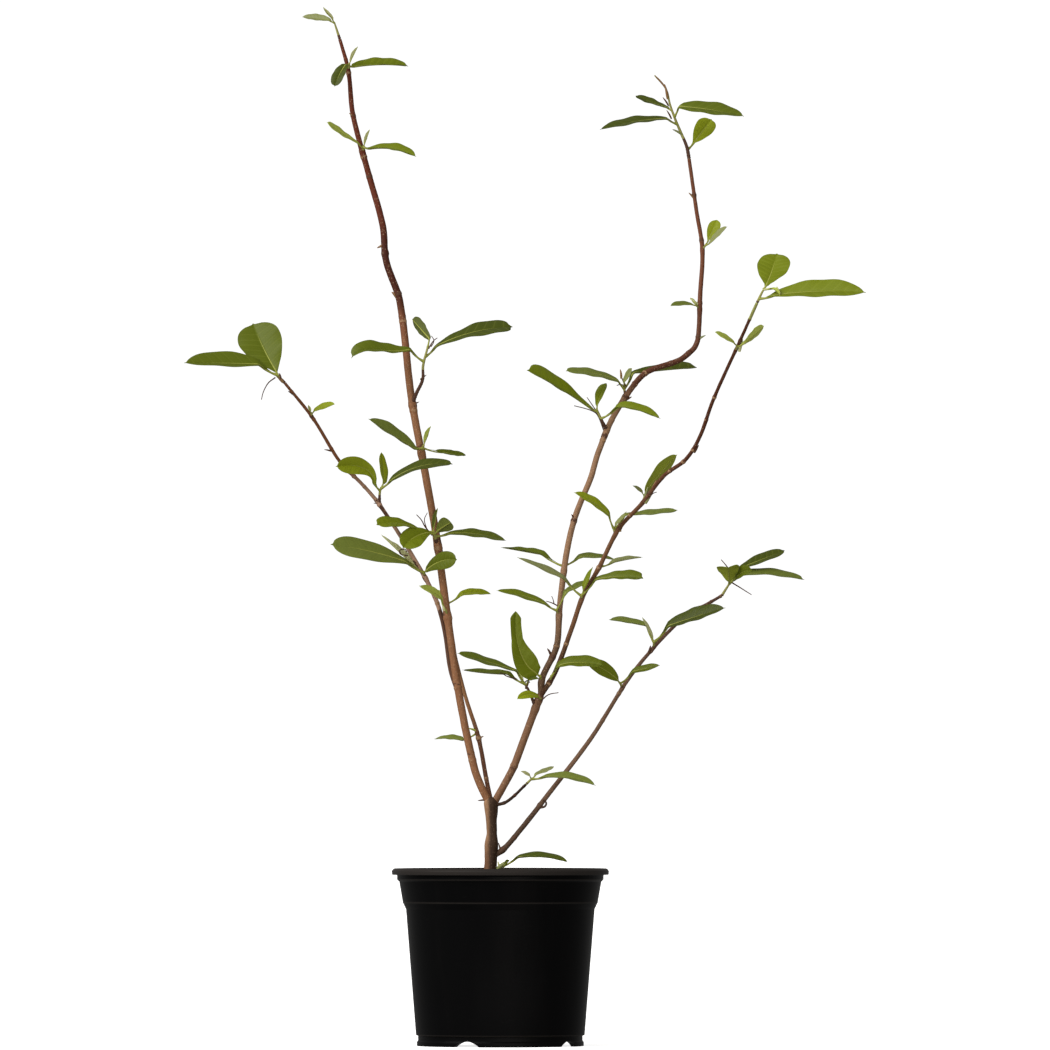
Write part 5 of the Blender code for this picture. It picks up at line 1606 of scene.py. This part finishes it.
@dataclass
class GrowingMix:
    """Peat that fills the pot to a little under its rim, with crumbs of bark and grit on top.

    Its top is a mound with lumps, given by their waves a metre, their own level and their rise.
    """

    top: float = 162.0
    mound: float = 1.485
    edge_drop: float = 2.2
    edge_from: float = 0.82
    lumps: tuple[Triple, ...] = ((60.0, 0.0, 0.792), (190.0, 3.0, 0.54), (520.0, 9.0, 0.252))
    width: float = 198.0
    shoulder: float = 155.0
    taper_width: float = 185.0
    taper: float = 138.0
    bottom_width: float = 164.0
    bottom: float = 13.4
    rings: int = 34
    turn_steps: int = 120
    crumbs: int = 420
    crumb_margin: float = 4.5
    trunk_x: float = -10.0
    trunk_clearance: float = 13.0
    seed: int = 7

    def ground(self, x: float, y: float) -> float:
        """How high the mix stands at a place: a low mound with three sizes of lumps.

        Args:
            x: The place's distance to the right, in metres.
            y: Its distance to the back, in metres.

        Returns:
            Its height in metres.
        """
        reach = math.hypot(x, y) / (self.width / 2 * MM)
        edge = self.edge_drop * max(0.0, reach - self.edge_from)
        rough = sum(
            noise.noise(Vector((x, y, level)) * waves) * rise for waves, level, rise in self.lumps
        )
        return (self.top + self.mound * math.exp(-4.0 * reach**2) - edge + rough) * MM

    def body(self) -> Piece:
        """Turns the peat as one closed piece and roughens its top.

        Returns:
            The bed.
        """
        half = self.width / 2
        corners = [(half * (index / self.rings), self.top) for index in range(self.rings + 1)]
        corners += [
            (half, self.shoulder),
            (self.taper_width / 2, self.taper),
            (self.bottom_width / 2, self.bottom),
            (0.0, self.bottom),
        ]
        outline = [(radius * MM, 0.0, height * MM) for radius, height in corners]
        piece = turned("growing_mix_bed", outline, self.turn_steps)
        places = corners_of(piece.data)
        for row in places:
            if row[2] > (self.top - 0.5) * MM:
                row[2] = self.ground(row[0], row[1])
        move_corners(piece.data, places)
        return piece

    def scatter(self, wardrobe: Wardrobe) -> list[Piece]:
        """Strews the crumbs over the bed, clear of the trunk.

        Args:
            wardrobe: Every material.

        Returns:
            The crumbs.
        """
        rule = random.Random(self.seed)
        deselect()
        bpy.ops.mesh.primitive_ico_sphere_add(subdivisions=1, radius=1.0)
        blank = fresh("crumb_blank")
        apply_modifier(blank, "BEVEL", width=0.12, segments=1)
        unit = corners_of(blank.data)
        strewn = []
        while len(strewn) < self.crumbs:
            reach = math.sqrt(rule.random()) * (self.width / 2 - self.crumb_margin) * MM
            angle = rule.uniform(0.0, math.tau)
            x, y = reach * math.cos(angle), reach * math.sin(angle)
            if math.hypot(x - self.trunk_x * MM, y) < self.trunk_clearance * MM:
                continue
            kind = rule.choices((0, 1, 2), (5, 1, 6))[0]
            size = rule.uniform(0.7, 2.9 if kind == 0 else 1.7) * MM
            shape = np.array(
                (size * rule.uniform(1.0, 1.9), size * rule.uniform(0.6, 1.0), size * 0.45)
            )
            shift = Vector((x, y, 0.0)) * 900.0
            rough = np.array([noise.noise(Vector(row) * 1.7 + shift) for row in unit])
            turn = Quaternion((0.0, 0.0, 1.0), rule.uniform(0.0, math.tau)) @ Quaternion(
                (1.0, 0.0, 0.0), rule.uniform(-0.4, 0.4)
            )
            places = (unit * shape * (1.0 + 0.35 * rough)[:, None]) @ np.array(turn.to_matrix()).T
            places += (x, y, self.ground(x, y) + shape[2] * 0.35)
            crumb = twin(blank, "crumb")
            move_corners(crumb.data, places)
            dress(crumb, wardrobe.crumbs[kind])
            strewn.append(crumb)
        discard([blank])
        return strewn

    def build(self, wardrobe: Wardrobe) -> None:
        """Builds the bed and its crumbs.

        Args:
            wardrobe: Every material.
        """
        bed = self.body()
        dress(bed, wardrobe.peat)
        settle(bed, ["growing_mix"], smooth=60.0)
        crumbs = joined("growing_mix_crumbs", self.scatter(wardrobe))
        settle(crumbs, ["growing_mix"], smooth=30.0)


# --- Trunk and limbs ---


@dataclass
class Limb:
    """A limb: its plan's route, thickened by nodes where sprays leave it, with rough bark.

    A node swells the limb for node_reach mm, before it and after it.
    """

    plan: LimbPlan
    nodes: Sequence[float] = ()
    sides: int = 22
    ring_step: float = 1.3
    grain: float = 0.13
    node_swell: float = 0.16
    node_reach: tuple[float, float] = (5.5, 2.6)
    route: Route = field(init=False)

    def __post_init__(self) -> None:
        """Lays the route."""
        self.route = Route.through(self.plan.route)

    @property
    def solid_length(self) -> float:
        """Its length where its stations lie a solid's step apart, in metres."""
        return Route.through(self.plan.route, step=SOLID_STEP).length

    def radius(self, distance: Array) -> Array:
        """The plain taper, with swollen nodes, a rounded tip and a collar at the foot.

        Args:
            distance: Distances from the foot, in metres.

        Returns:
            Radii in metres.
        """
        share = np.clip(distance / self.route.length, 0.0, 1.0)
        foot, tip = self.plan.foot_width / 2 * MM, self.plan.tip_width / 2 * MM
        wide = foot + (tip - foot) * share**self.plan.taper
        swell = np.zeros_like(wide)
        for place in self.nodes:
            away = (distance - place) / MM
            reach = np.where(away < 0.0, *self.node_reach)
            swell = np.maximum(swell, np.exp(-((away / reach) ** 2)))
        wide = wide * (1.0 + self.node_swell * swell)
        for along, length, proud in self.plan.rings + self.plan.scars:
            away = (distance / MM - along) / (length / 2)
            wide = wide + proud * MM * np.exp(-(away**2) * 0.8)
        return wide * rounded((self.route.length - distance) / tip, 0.02)

    def relief(self, distance: Array, angle: Array) -> Array:
        """Long low ridges and small lumps in the bark.

        Args:
            distance: Distances from the foot, in metres.
            angle: Angles round the limb.

        Returns:
            What the bark adds to the radius, in metres.
        """
        shift = float(sum(map(ord, self.plan.node)) % 97)
        found = []
        for along, turn in zip(distance, angle):
            x, y = math.cos(turn), math.sin(turn)
            ridge = noise.noise(Vector((x * 2.6, y * 2.6, along * 46.0 + shift)))
            lump = noise.noise(Vector((x * 1.1, y * 1.1, along * 120.0 - shift)))
            found.append((ridge * 1.2 + lump * 0.9) * self.grain * MM)
        return np.array(found)

    def slots(self, shares: Array, angles: Array) -> Array:
        """Which faces are corky, scarred or green: ragged bands that don't go all the way round.

        Args:
            shares: How far along the limb each face lies, from 0 to 1.
            angles: At which angle round the limb it lies.

        Returns:
            A material slot for each face.
        """
        rule = np.random.default_rng(len(self.plan.route))
        ragged = rule.normal(0.0, 0.55, len(shares))
        along = shares * self.route.length / MM + ragged
        slot = np.zeros(len(along), np.int32)
        bands = [(place, length, Scar.PALE) for place, length, _ in self.plan.rings]
        bands += [(place, length, Scar.DARK) for place, length, _ in self.plan.scars]
        for place, length, kind in bands:
            round_it = np.cos(angles - rule.uniform(0.0, math.tau)) + ragged * 0.5 > -0.35
            slot[(np.abs(along - place) < length / 2) & round_it] = list(Scar).index(kind) + 1
        slot[along > self.plan.green_from] = list(Scar).index(Scar.GREEN) + 1
        return slot

    def build(self, shop: TubeShop) -> None:
        """Makes and dresses the limb.

        Args:
            shop: Makes the tube and hands out materials.
        """
        rings = max(8, round(self.route.length / MM / self.ring_step))
        name = self.plan.node + "_bark"
        piece = shop.tube(name, self.route, self.radius, self.sides, rings, self.relief)
        give_slots(piece.data, self.slots(*shop.shares(self.sides, rings)))
        dress(piece, shop.wardrobe.barks[self.plan.bark], *shop.wardrobe.scars)
        settle(piece, [self.plan.node], smooth=70.0)


@dataclass
class Trunk(Limb):
    """The short trunk: its widths are given section by section."""

    sections: tuple[Section, ...] = TRUNK
    sides: int = 40
    ring_step: float = 0.9
    grain: float = 0.34
    smoothing: int = 15
    round_top: float = 7.0

    @property
    def solid_length(self) -> float:
        """Its length in metres, as its solid has the same stations."""
        return self.route.length

    def radius(self, distance: Array) -> Array:
        """The sections' widths, smoothed between them and rounded at the top.

        Args:
            distance: Distances from the foot, in metres.

        Returns:
            Radii in metres.
        """
        heights = np.array([section[3] for section in self.sections]) * MM
        widths = np.array([section[0] for section in self.sections]) / 2 * MM
        heights = heights - heights[0]
        line = np.linspace(0.0, heights[-1], 400)
        plain = np.interp(line, heights, widths)
        kernel = np.hanning(2 * self.smoothing + 1)
        padded = np.pad(plain, self.smoothing, mode="edge")
        soft = np.convolve(padded, kernel / kernel.sum(), mode="valid")
        left = (self.route.length - distance) / (self.round_top * MM)
        return np.interp(distance, line, soft) * rounded(left, 0.02)


# --- Leaves ---


@dataclass(frozen=True)
class LeafStyle:
    """How every leaf is made: lengths in mm, angles in degrees, the rest as shares."""

    fold: float = 0.22
    fold_spread: float = 0.10
    twist: float = 9.0
    slant: float = 0.15
    thickness: float = 0.55
    quilt: float = 0.30
    ripple: float = 0.050
    curl: float = 0.10
    stalk_foot: float = 1.35
    stalk_middle: float = 1.00
    midrib_tip: float = 0.24
    reach: float = 0.42
    wing: float = 0.75
    wing_width: float = 4.4
    least_width: float = 0.56
    small_blade: float = 24.0
    waves: tuple[float, float] = (1.6, 3.2)
    uneven: float = 0.06
    cup: tuple[float, float] = (0.6, 1.2)
    groove: float = 0.35
    groove_width: float = 0.9
    edge_thinning: float = 0.55
    stalk_sides: int = 8
    stalk_ring: float = 2.6
    stalk_sag: float = 0.05
    rib_depth: float = 0.42


class LeafBlank:
    """A unit blade: a grid with rows between its veins, thickened, with slots for its sides."""

    def __init__(self, name: str, veins: int, rows: int, columns: int) -> None:
        """Models the blank.

        Args:
            name: The blank's name.
            veins: How many pairs of side veins it has.
            rows: How many rows of faces lie from one vein to the next.
            columns: How many columns of faces it has, an even number.
        """
        self.veins, self.rows, self.columns = veins, rows, columns
        deselect()
        bpy.ops.mesh.primitive_grid_add(
            x_subdivisions=veins * rows, y_subdivisions=columns, size=1.0
        )
        self.piece = fresh(name)
        self._mark_veins()
        for _ in range(4):
            self.piece.data.materials.append(None)
        walls = {"thickness": 1.0, "offset": 0.0, "material_offset": 2, "material_offset_rim": 0}
        apply_modifier(self.piece, "SOLIDIFY", **walls)
        unit = corners_of(self.piece.data)
        self.along = self._spaced(unit[:, 0] + 0.5)
        across = unit[:, 1] * 2.0
        self.across = np.sign(across) * np.abs(across) ** 1.2
        self.level = unit[:, 2]
        phase = (unit[:, 0] + 0.5) * veins
        self.hollow = 0.5 + 0.5 * np.cos(math.tau * phase)

    def _mark_veins(self) -> None:
        """Puts the first row after every vein in the second slot."""
        middles = face_middles(self.piece.data)
        row = np.floor((middles[:, 0] + 0.5) * self.veins * self.rows + 1e-6).astype(int)
        give_slots(self.piece.data, np.where(row % self.rows == 0, 1, 0))

    def _spaced(self, share: Array) -> Array:
        """Draws the rows together at every vein, so that a vein's row is narrow.

        Args:
            share: Even places along the blade, from 0 to 1.

        Returns:
            The drawn places.
        """
        count = share * self.veins
        cell = np.floor(count + 1e-6)
        within = count - cell
        narrow = 0.15
        first = 1.0 / self.rows
        eased = np.where(
            within < first,
            within / first * narrow,
            narrow + (within - first) / (1.0 - first) * (1.0 - narrow),
        )
        return np.clip((cell + eased) / self.veins, 0.0, 1.0)


class LeafPress:
    """Shapes copies of the blanks into the leaves of a spray."""

    def __init__(self, style: LeafStyle, shop: TubeShop) -> None:
        """Models the two blanks.

        Args:
            style: How leaves are made.
            shop: Makes the stalks and hands out materials.
        """
        self.style, self.shop = style, shop
        self.large = LeafBlank("leaf_blank", veins=9, rows=4, columns=14)
        self.small = LeafBlank("small_leaf_blank", veins=6, rows=3, columns=8)

    def close(self) -> None:
        """Clears the blanks away."""
        discard([self.large.piece, self.small.piece])

    @staticmethod
    def outline(form: Form, along: Array) -> Array:
        """Share of the blade's half width at places along it.

        Args:
            form: The blade's form.
            along: Places from the foot, 0, to the tip, 1.

        Returns:
            Shares from 0 to 1, with a short point at the tip.
        """
        rise, fall, blunt = form.value
        peak = rise / (rise + fall)
        full = peak**rise * (1.0 - peak) ** fall
        body = np.clip(along / 0.975, 0.0, 1.0)
        plain = body**rise * (1.0 - body) ** fall / full
        point = blunt * np.clip((1.0 - along) / 0.09, 0.0, 1.0) ** 0.8
        return np.maximum(plain, np.where(along > 0.5, point, 0.0))

    @staticmethod
    def frame_of(blade: Vector, tilt: float) -> tuple[Vector, Vector, Vector, Vector]:
        """Directions of a blade that is turned by tilt about its midrib.

        Args:
            blade: From the blade's foot to its tip.
            tilt: Its turn from level, in degrees.

        Returns:
            Along, across, the upper side's direction, and which way it arches.
        """
        along = blade.normalized()
        upper = (Vector((0.0, 0.0, 1.0)) - along * along.z).normalized()
        turn = Quaternion(along, math.radians(tilt))
        return along, turn @ along.cross(upper), turn @ upper, upper

    def spine(self, leaf: Leaf, root: Array, share: Array) -> Array:
        """Places on the midrib of a leaf, in metres.

        Args:
            leaf: The leaf.
            root: Where its stalk starts, in metres.
            share: Places from the blade's foot, 0, to its tip, 1.

        Returns:
            Rows of places.
        """
        foot = root + np.array(leaf.stalk) * MM
        rise = self.frame_of(Vector(leaf.blade), leaf.tilt)[3]
        bend = np.clip(share, 0.0, 1.0) ** (math.log(0.5) / math.log(leaf.peak))
        arch = 4.0 * bend * (1.0 - bend) * leaf.arch * MM
        ahead = np.maximum(share, 0.0)[:, None] * np.array(leaf.blade) * MM
        back = np.minimum(share, 0.0)[:, None] * np.array(leaf.stalk) * MM * self.reach_back(leaf)
        return foot + ahead + back + arch[:, None] * np.array(rise)

    @staticmethod
    def reach_back(leaf: Leaf) -> float:
        """The blade's length as a share of the stalk's."""
        return Vector(leaf.blade).length / max(1.0, Vector(leaf.stalk).length)

    def blade(self, leaf: Leaf, root: Array, rule: random.Random) -> Piece:
        """Shapes one blade.

        Args:
            leaf: The leaf.
            root: Where its stalk starts, in metres.
            rule: The spray's own random numbers.

        Returns:
            The blade.
        """
        style = self.style
        length = Vector(leaf.blade).length
        blank = self.small if length < style.small_blade else self.large
        fold = style.fold + rule.uniform(-style.fold_spread, style.fold_spread)
        twist = math.radians(rule.uniform(-style.twist, style.twist))
        look = random.Random(f"{leaf.blade}{leaf.width}")
        waves, phase = look.uniform(*style.waves), look.uniform(0.0, math.tau)
        uneven = look.uniform(-style.uneven, style.uneven)
        cupped = look.uniform(*style.cup)

        level, v = blank.along, blank.across
        edge = np.abs(v)
        wing = style.wing / self.reach_back(leaf)
        reach = style.reach / self.reach_back(leaf)
        share = level + style.slant * edge**0.9 * np.sin(math.pi * level) * (1.0 - level * 0.35)
        share = np.clip(share, 0.0, 1.0) * (1.0 + wing) - wing
        spread = np.clip((share + reach) / (1.0 + reach), 0.0, 1.0)
        half = leaf.width / 2 * MM * self.outline(leaf.form, spread)
        strip = min(style.wing_width, leaf.width * 0.26) / 2 * MM * np.clip(
            np.minimum((share + wing) / max(wing, 0.05), (1.0 - share) / 0.9), 0.0, 1.0
        )
        half = np.sqrt(half**2 + strip**2)
        half = np.maximum(half, style.least_width / 2 * MM) * (1.0 + uneven * np.sign(v))
        along, across, upper, _ = self.frame_of(Vector(leaf.blade), leaf.tilt)
        middle = self.spine(leaf, root, share)
        ahead = self.spine(leaf, root, share + 0.01) - self.spine(leaf, root, share - 0.01)
        ahead /= np.linalg.norm(ahead, axis=1)[:, None]
        spin = twist * np.maximum(share, 0.0)
        side = np.cos(spin)[:, None] * np.array(across) + np.sin(spin)[:, None] * np.array(upper)
        side -= ahead * (side * ahead).sum(1)[:, None]
        side /= np.linalg.norm(side, axis=1)[:, None]
        top = np.cross(side, ahead)

        lift = half * (fold * 1.35 * edge - style.curl * cupped * edge**3)
        quilt = style.quilt * MM * min(1.0, length / 45.0)
        lift += quilt * (0.5 - blank.hollow) * np.sin(math.pi * np.clip(edge, 0.0, 1.0)) ** 0.7
        wave = np.sin(math.tau * waves * share + phase * np.sign(v))
        lift += (
            style.ripple * leaf.width / 2 * MM * wave
            * edge**2 * np.sin(math.pi * np.clip(share, 0.0, 1.0))
        )
        near = np.exp(-((half * edge / (style.groove_width * MM)) ** 2))
        lift -= style.groove * MM * near * (blank.level > 0)
        thick = style.thickness * MM * (1.0 - style.edge_thinning * edge**2)
        places = middle + side * (half * v)[:, None] + top * (lift + blank.level * thick)[:, None]
        piece = twin(blank.piece, "blade")
        move_corners(piece.data, places)
        dress(piece, *self.shop.wardrobe.leaves[leaf.tone])
        return piece

    def stalk(self, leaf: Leaf, root: Array) -> Piece:
        """Makes a leaf's stalk and the midrib that it runs on into.

        Args:
            leaf: The leaf.
            root: Where the stalk starts, in metres.

        Returns:
            The stalk.
        """
        style = self.style
        scale = min(1.0, 0.45 + leaf.width / 40.0)
        rib = self.spine(leaf, root, np.linspace(0.0, 0.95, 12))
        upper = np.array(self.frame_of(Vector(leaf.blade), leaf.tilt)[2])
        rib -= upper * style.rib_depth * MM
        foot = Vector(leaf.stalk)
        sag = np.array((0.0, 0.0, -style.stalk_sag)) * foot.length * MM
        bow = [root + (rib[0] - root) * t + sag * 4 * t * (1 - t) for t in (0.0, 0.33, 0.66)]
        route = Route(np.array([*bow, *rib]))
        route = Route.through(route.points / MM, step=1.8)
        start = foot.length * MM / route.length

        def radius(distance: Array) -> Array:
            """The stalk's radius, which falls to a thread at the blade's tip.

            Args:
                distance: Distances from the stalk's foot, in metres.

            Returns:
                Radii in metres.
            """
            share = distance / route.length
            points = (0.0, start * 0.35, start, 1.0)
            wide = (style.stalk_foot * 1.25, style.stalk_middle, style.stalk_middle * 1.05,
                    style.midrib_tip / scale)
            return np.interp(share, points, wide) * scale * MM

        rings = max(10, round(route.length / MM / style.stalk_ring))
        piece = self.shop.tube("stalk", route, radius, style.stalk_sides, rings)
        dress(piece, self.shop.wardrobe.stalk)
        return piece


@dataclass
class Spray:
    """A spur with its leaves."""

    plan: SprayPlan
    limb: Limb
    sides: int = 12
    ring_step: float = 0.8
    knob_step: float = 3.1
    knob_swell: float = 0.16
    end_margin: float = 1.2
    foot_distance: float = field(init=False)
    route: Route = field(init=False)

    def __post_init__(self) -> None:
        """Finds where the spur leaves its limb, and lays the spur's route."""
        share = self.plan.along * MM / self.limb.solid_length
        self.foot_distance = self.limb.route.bounded(share * self.limb.route.length)
        foot = self.limb.route.at(self.foot_distance)
        places = [foot / MM] + [foot / MM + np.array(step) for step in self.plan.spur]
        if len(places) == 2:
            places.insert(1, (places[0] * 0.5 + places[1] * 0.5))
        self.route = Route.through(places, step=0.9)

    def radius(self, distance: Array) -> Array:
        """The spur's radius: knobbly, wider at its foot and rounded at its end.

        Args:
            distance: Distances from the limb's middle, in metres.

        Returns:
            Radii in metres.
        """
        share = distance / self.route.length
        foot, tip = self.plan.foot_width / 2 * MM, self.plan.tip_width / 2 * MM
        wide = foot + (tip - foot) * share
        knobs = 0.5 + 0.5 * np.cos(math.tau * distance / (self.knob_step * MM))
        wooded = np.clip((self.plan.woody - share) * 6.0, 0.0, 1.0)
        wide = wide * (1.0 + self.knob_swell * knobs * wooded)
        return wide * rounded((self.route.length - distance) / tip, 0.03)

    def spur(self, shop: TubeShop) -> Piece:
        """Makes the spur, woody at its foot and green above.

        Args:
            shop: Makes the tube and hands out materials.

        Returns:
            The spur.
        """
        rings = max(8, round(self.route.length / MM / self.ring_step))
        piece = shop.tube("spur", self.route, self.radius, self.sides, rings)
        shares, _ = shop.shares(self.sides, rings)
        give_slots(piece.data, np.where(shares < self.plan.woody, 0, 1))
        dress(piece, shop.wardrobe.spur_wood, shop.wardrobe.spur_green)
        return piece

    def leaves(self, press: LeafPress) -> tuple[list[Piece], list[Piece]]:
        """Makes the spray's blades and stalks.

        Args:
            press: Shapes leaves.

        Returns:
            The blades and the stalks.
        """
        rule = random.Random(self.plan.node)
        blades, stalks = [], []
        for leaf in self.plan.leaves:
            end = self.route.length - self.end_margin * MM
            root = self.route.at(min(leaf.root * MM, end))
            blades.append(press.blade(leaf, root, rule))
            stalks.append(press.stalk(leaf, root))
        return blades, stalks


# --- Trims ---


@dataclass
class TrimShop:
    """Makes buds, dry scales and threads from the shop's tubes."""

    shop: TubeShop
    bud_sides: int = 10
    bud_ring: float = 0.7
    bud_root: float = 1.2
    bud_bow: Triple = (0.075, -0.1, 0.125)
    bud_vein: float = 0.22
    thread_sides: int = 6
    thread_ring: float = 1.4
    thread_taper: float = 0.45

    def bud(self, plan: Bud) -> Piece:
        """A pointed bud or a rolled scale along its reach.

        Args:
            plan: The bud's plan.

        Returns:
            The bud.
        """
        reach = Vector((plan.right, BUD_LEAN, plan.up))
        foot, tip = Vector(plan.foot), Vector(plan.foot) + reach
        foot -= reach.normalized() * self.bud_root
        bow = Vector(self.bud_bow) * plan.width
        route = Route.through([foot, foot.lerp(tip, 0.5) + bow, tip], step=0.6)

        def radius(distance: Array) -> Array:
            """The bud's radius: firm at the foot, full in the middle and pointed at the tip.

            Args:
                distance: Distances from the bud's foot, in metres.

            Returns:
                Radii in metres.
            """
            share = np.clip(distance / route.length, 0.0, 1.0)
            full = 1.35 * (share + 0.14) ** 0.4 * (1.0 - share) ** 0.6
            return np.maximum(0.18, full * plan.width / 2) * MM

        rings = max(8, round(route.length / MM / self.bud_ring))
        piece = self.shop.tube("bud", route, radius, self.bud_sides, rings)
        shares, _ = self.shop.shares(self.bud_sides, rings)
        give_slots(piece.data, np.where(shares < self.bud_vein, 1, 0))
        dress(piece, *self.shop.wardrobe.leaves[plan.tone][:2])
        return piece

    def thread(self, plan: Thread) -> Piece:
        """A thin dry thread through its places.

        Args:
            plan: The thread's plan.

        Returns:
            The thread.
        """
        route = Route.through(plan.places, step=0.9)

        def radius(distance: Array) -> Array:
            """The thread's radius, a little thinner towards its end."""
            share = np.clip(distance / route.length, 0.0, 1.0)
            return plan.width / 2 * MM * (1.0 - self.thread_taper * share)

        rings = max(6, round(route.length / MM / self.thread_ring))
        piece = self.shop.tube("thread", route, radius, self.thread_sides, rings)
        dress(piece, self.shop.wardrobe.thread)
        return piece


# --- The tree ---


class Magnolia:
    """The whole plant: trunk, limbs, sprays and trims."""

    def __init__(self, wardrobe: Wardrobe) -> None:
        """Plans the limbs and the sprays that leave them.

        Args:
            wardrobe: Every material.
        """
        self.shop = TubeShop(wardrobe)
        places = tuple((x, y, z) for _, x, y, z in TRUNK)
        trunk = LimbPlan("trunk", TRUNK[0][0], TRUNK[-1][0], 1.0, Bark.TRUNK, places)
        self.limbs: dict[str, Limb] = {"trunk": Trunk(trunk)}
        self.limbs.update({plan.node: Limb(plan) for plan in LIMBS})
        self.sprays: dict[str, list[Spray]] = {}
        for name, limb in self.limbs.items():
            self.sprays[name] = [Spray(plan, limb) for plan in SPRAYS[name]]
            feet = [spray.foot_distance for spray in self.sprays[name]]
            limb.nodes = [foot for foot in feet if foot < limb.route.length - 4 * MM]

    def build_sprays(self) -> None:
        """Builds the spurs, stalks and blades of every limb as three joined pieces."""
        press = LeafPress(LeafStyle(), self.shop)
        trims = TrimShop(self.shop)
        for name, sprays in self.sprays.items():
            nodes = [spray.plan.node for spray in sprays]
            made: dict[str, list[Piece]] = {"blades": [], "stalks": [], "spurs": []}
            for spray in sprays:
                made["spurs"].append(spray.spur(self.shop))
                blades, stalks = spray.leaves(press)
                made["blades"] += blades
                made["stalks"] += stalks
            made["spurs"] += [trims.bud(plan) for plan in BUDS.get(name, ())]
            made["spurs"] += [trims.thread(plan) for plan in THREADS.get(name, ())]
            for kind, pieces in made.items():
                settle(joined(f"{name}_{kind}", pieces), nodes, smooth=60.0)
        press.close()

    def build(self) -> None:
        """Builds the plant and clears the blanks away."""
        for limb in self.limbs.values():
            limb.build(self.shop)
        self.build_sprays()
        self.shop.close()


# --- Studio ---


@dataclass(frozen=True)
class Panel:
    """A soft panel: its power in watts, width and height, place, and how high up it points."""

    name: str
    power: float
    size: tuple[float, float]
    place: Triple
    aim: float


@dataclass
class Studio:
    """A pale floor, soft light from the left and the front, and a long lens."""

    floor_size: float = 60.0
    floor_colour: Colour = (0.90, 0.90, 0.90)
    floor_glow: float = 0.78
    camera_place: Triple = (0.025, -14.0, 0.28)
    camera_target: Triple = (0.025, 0.0, 0.528)
    lens: float = 473.4
    sensor_width: float = 36.0
    clip: tuple[float, float] = (0.1, 200.0)
    key_power: float = 3.1
    key_from: Triple = (-1.20, -0.80, 1.10)
    key_angle: float = 60.0
    key_colour: Colour = (1.0, 0.985, 0.96)
    panel_colour: Colour = (1.0, 0.94, 0.88)
    panels: tuple[Panel, ...] = (
        Panel("front_panel", 16.0, (1.8, 1.0), (0.45, -2.2, 0.45), 0.45),
        Panel("floor_bounce", 0.035, (0.32, 0.07), (0.03, -0.21, 0.010), 0.09),
    )
    surround: Colour = (1.0, 1.0, 1.0)
    surround_power: float = 1.05
    sky_colour: Colour = (1.0, 0.99, 0.97)
    sky_power: float = 0.24

    def floor(self) -> None:
        """Lays the floor, which only the camera sees, so that it throws no light up."""
        deselect()
        bpy.ops.mesh.primitive_plane_add(size=self.floor_size, location=(0.0, 0.0, 0.0))
        floor = fresh("floor")
        edit(floor, "FACE")
        bpy.ops.mesh.select_all(action="SELECT")
        bpy.ops.mesh.subdivide(number_cuts=3)
        bpy.ops.object.mode_set(mode="OBJECT")
        dress(floor, MaterialBench("pale_floor").surface(
            Base_Color=self.floor_colour, Roughness=0.85,
            Emission_Color=self.surround, Emission_Strength=self.floor_glow,
        ))
        floor.visible_diffuse = False
        floor.visible_glossy = False

    def sky(self) -> None:
        """Sets a white surround with a low even light of its own."""
        world = bpy.data.worlds.new("white_surround")
        bpy.context.scene.world = world
        world.use_nodes = True
        bench = Bench(world.node_tree)
        dim, white = (
            bench.node("Background", {}, {"Color": colour, "Strength": power})
            for colour, power in (
                (self.sky_colour, self.sky_power), (self.surround, self.surround_power)
            )
        )
        seen = bench.node("LightPath", out="Is Camera Ray")
        mixed = bench.node("MixShader", {}, {"Fac": seen, 1: dim, 2: white})
        bench.node("OutputWorld", {}, {"Surface": mixed})

    @staticmethod
    def hang(name: str, data: bpy.types.ID, place: Triple, aim: Triple) -> Piece:
        """Hangs a light or a camera and points it at a place.

        Args:
            name: Its name.
            data: The light or the camera.
            place: Where it hangs.
            aim: Where it points.

        Returns:
            What was hung.
        """
        hung = bpy.data.objects.new(name, data)
        hung.location = place
        toward = Vector(aim) - Vector(place)
        hung.rotation_euler = toward.to_track_quat("-Z", "Y").to_euler()
        bpy.context.scene.collection.objects.link(hung)
        return hung

    def lights(self) -> None:
        """Hangs the soft key light and the panels, which the camera doesn't see."""
        key = bpy.data.lights.new("key_light", "SUN")
        key.energy = self.key_power
        key.angle = math.radians(self.key_angle)
        key.color = self.key_colour
        self.hang("key_light", key, self.key_from, (0.0, 0.0, 0.0))
        for panel in self.panels:
            data = bpy.data.lights.new(panel.name, "AREA")
            data.shape = "RECTANGLE"
            data.size, data.size_y = panel.size
            data.energy = panel.power
            data.color = self.panel_colour
            light = self.hang(panel.name, data, panel.place, (0.0, 0.0, panel.aim))
            light.visible_camera = False

    def camera(self) -> None:
        """Sets up the camera at the object's viewing angle."""
        data = bpy.data.cameras.new("camera")
        data.lens = self.lens
        data.sensor_width = self.sensor_width
        data.clip_start, data.clip_end = self.clip
        camera = self.hang("camera", data, self.camera_place, self.camera_target)
        bpy.context.scene.camera = camera

    def build(self) -> None:
        """Builds the studio."""
        self.floor()
        self.sky()
        self.lights()
        self.camera()
        bpy.context.scene.view_settings.view_transform = "Standard"
        bpy.context.scene.view_settings.look = "None"


def main() -> None:
    """Builds the pot, the mix, the tree and the studio, in that order."""
    logging.basicConfig(level=logging.INFO, format="%(message)s")
    wardrobe = Wardrobe()
    Pot().build(wardrobe)
    GrowingMix().build(wardrobe)
    Magnolia(wardrobe).build()
    Studio().build()


if __name__ == "__main__":
    main()
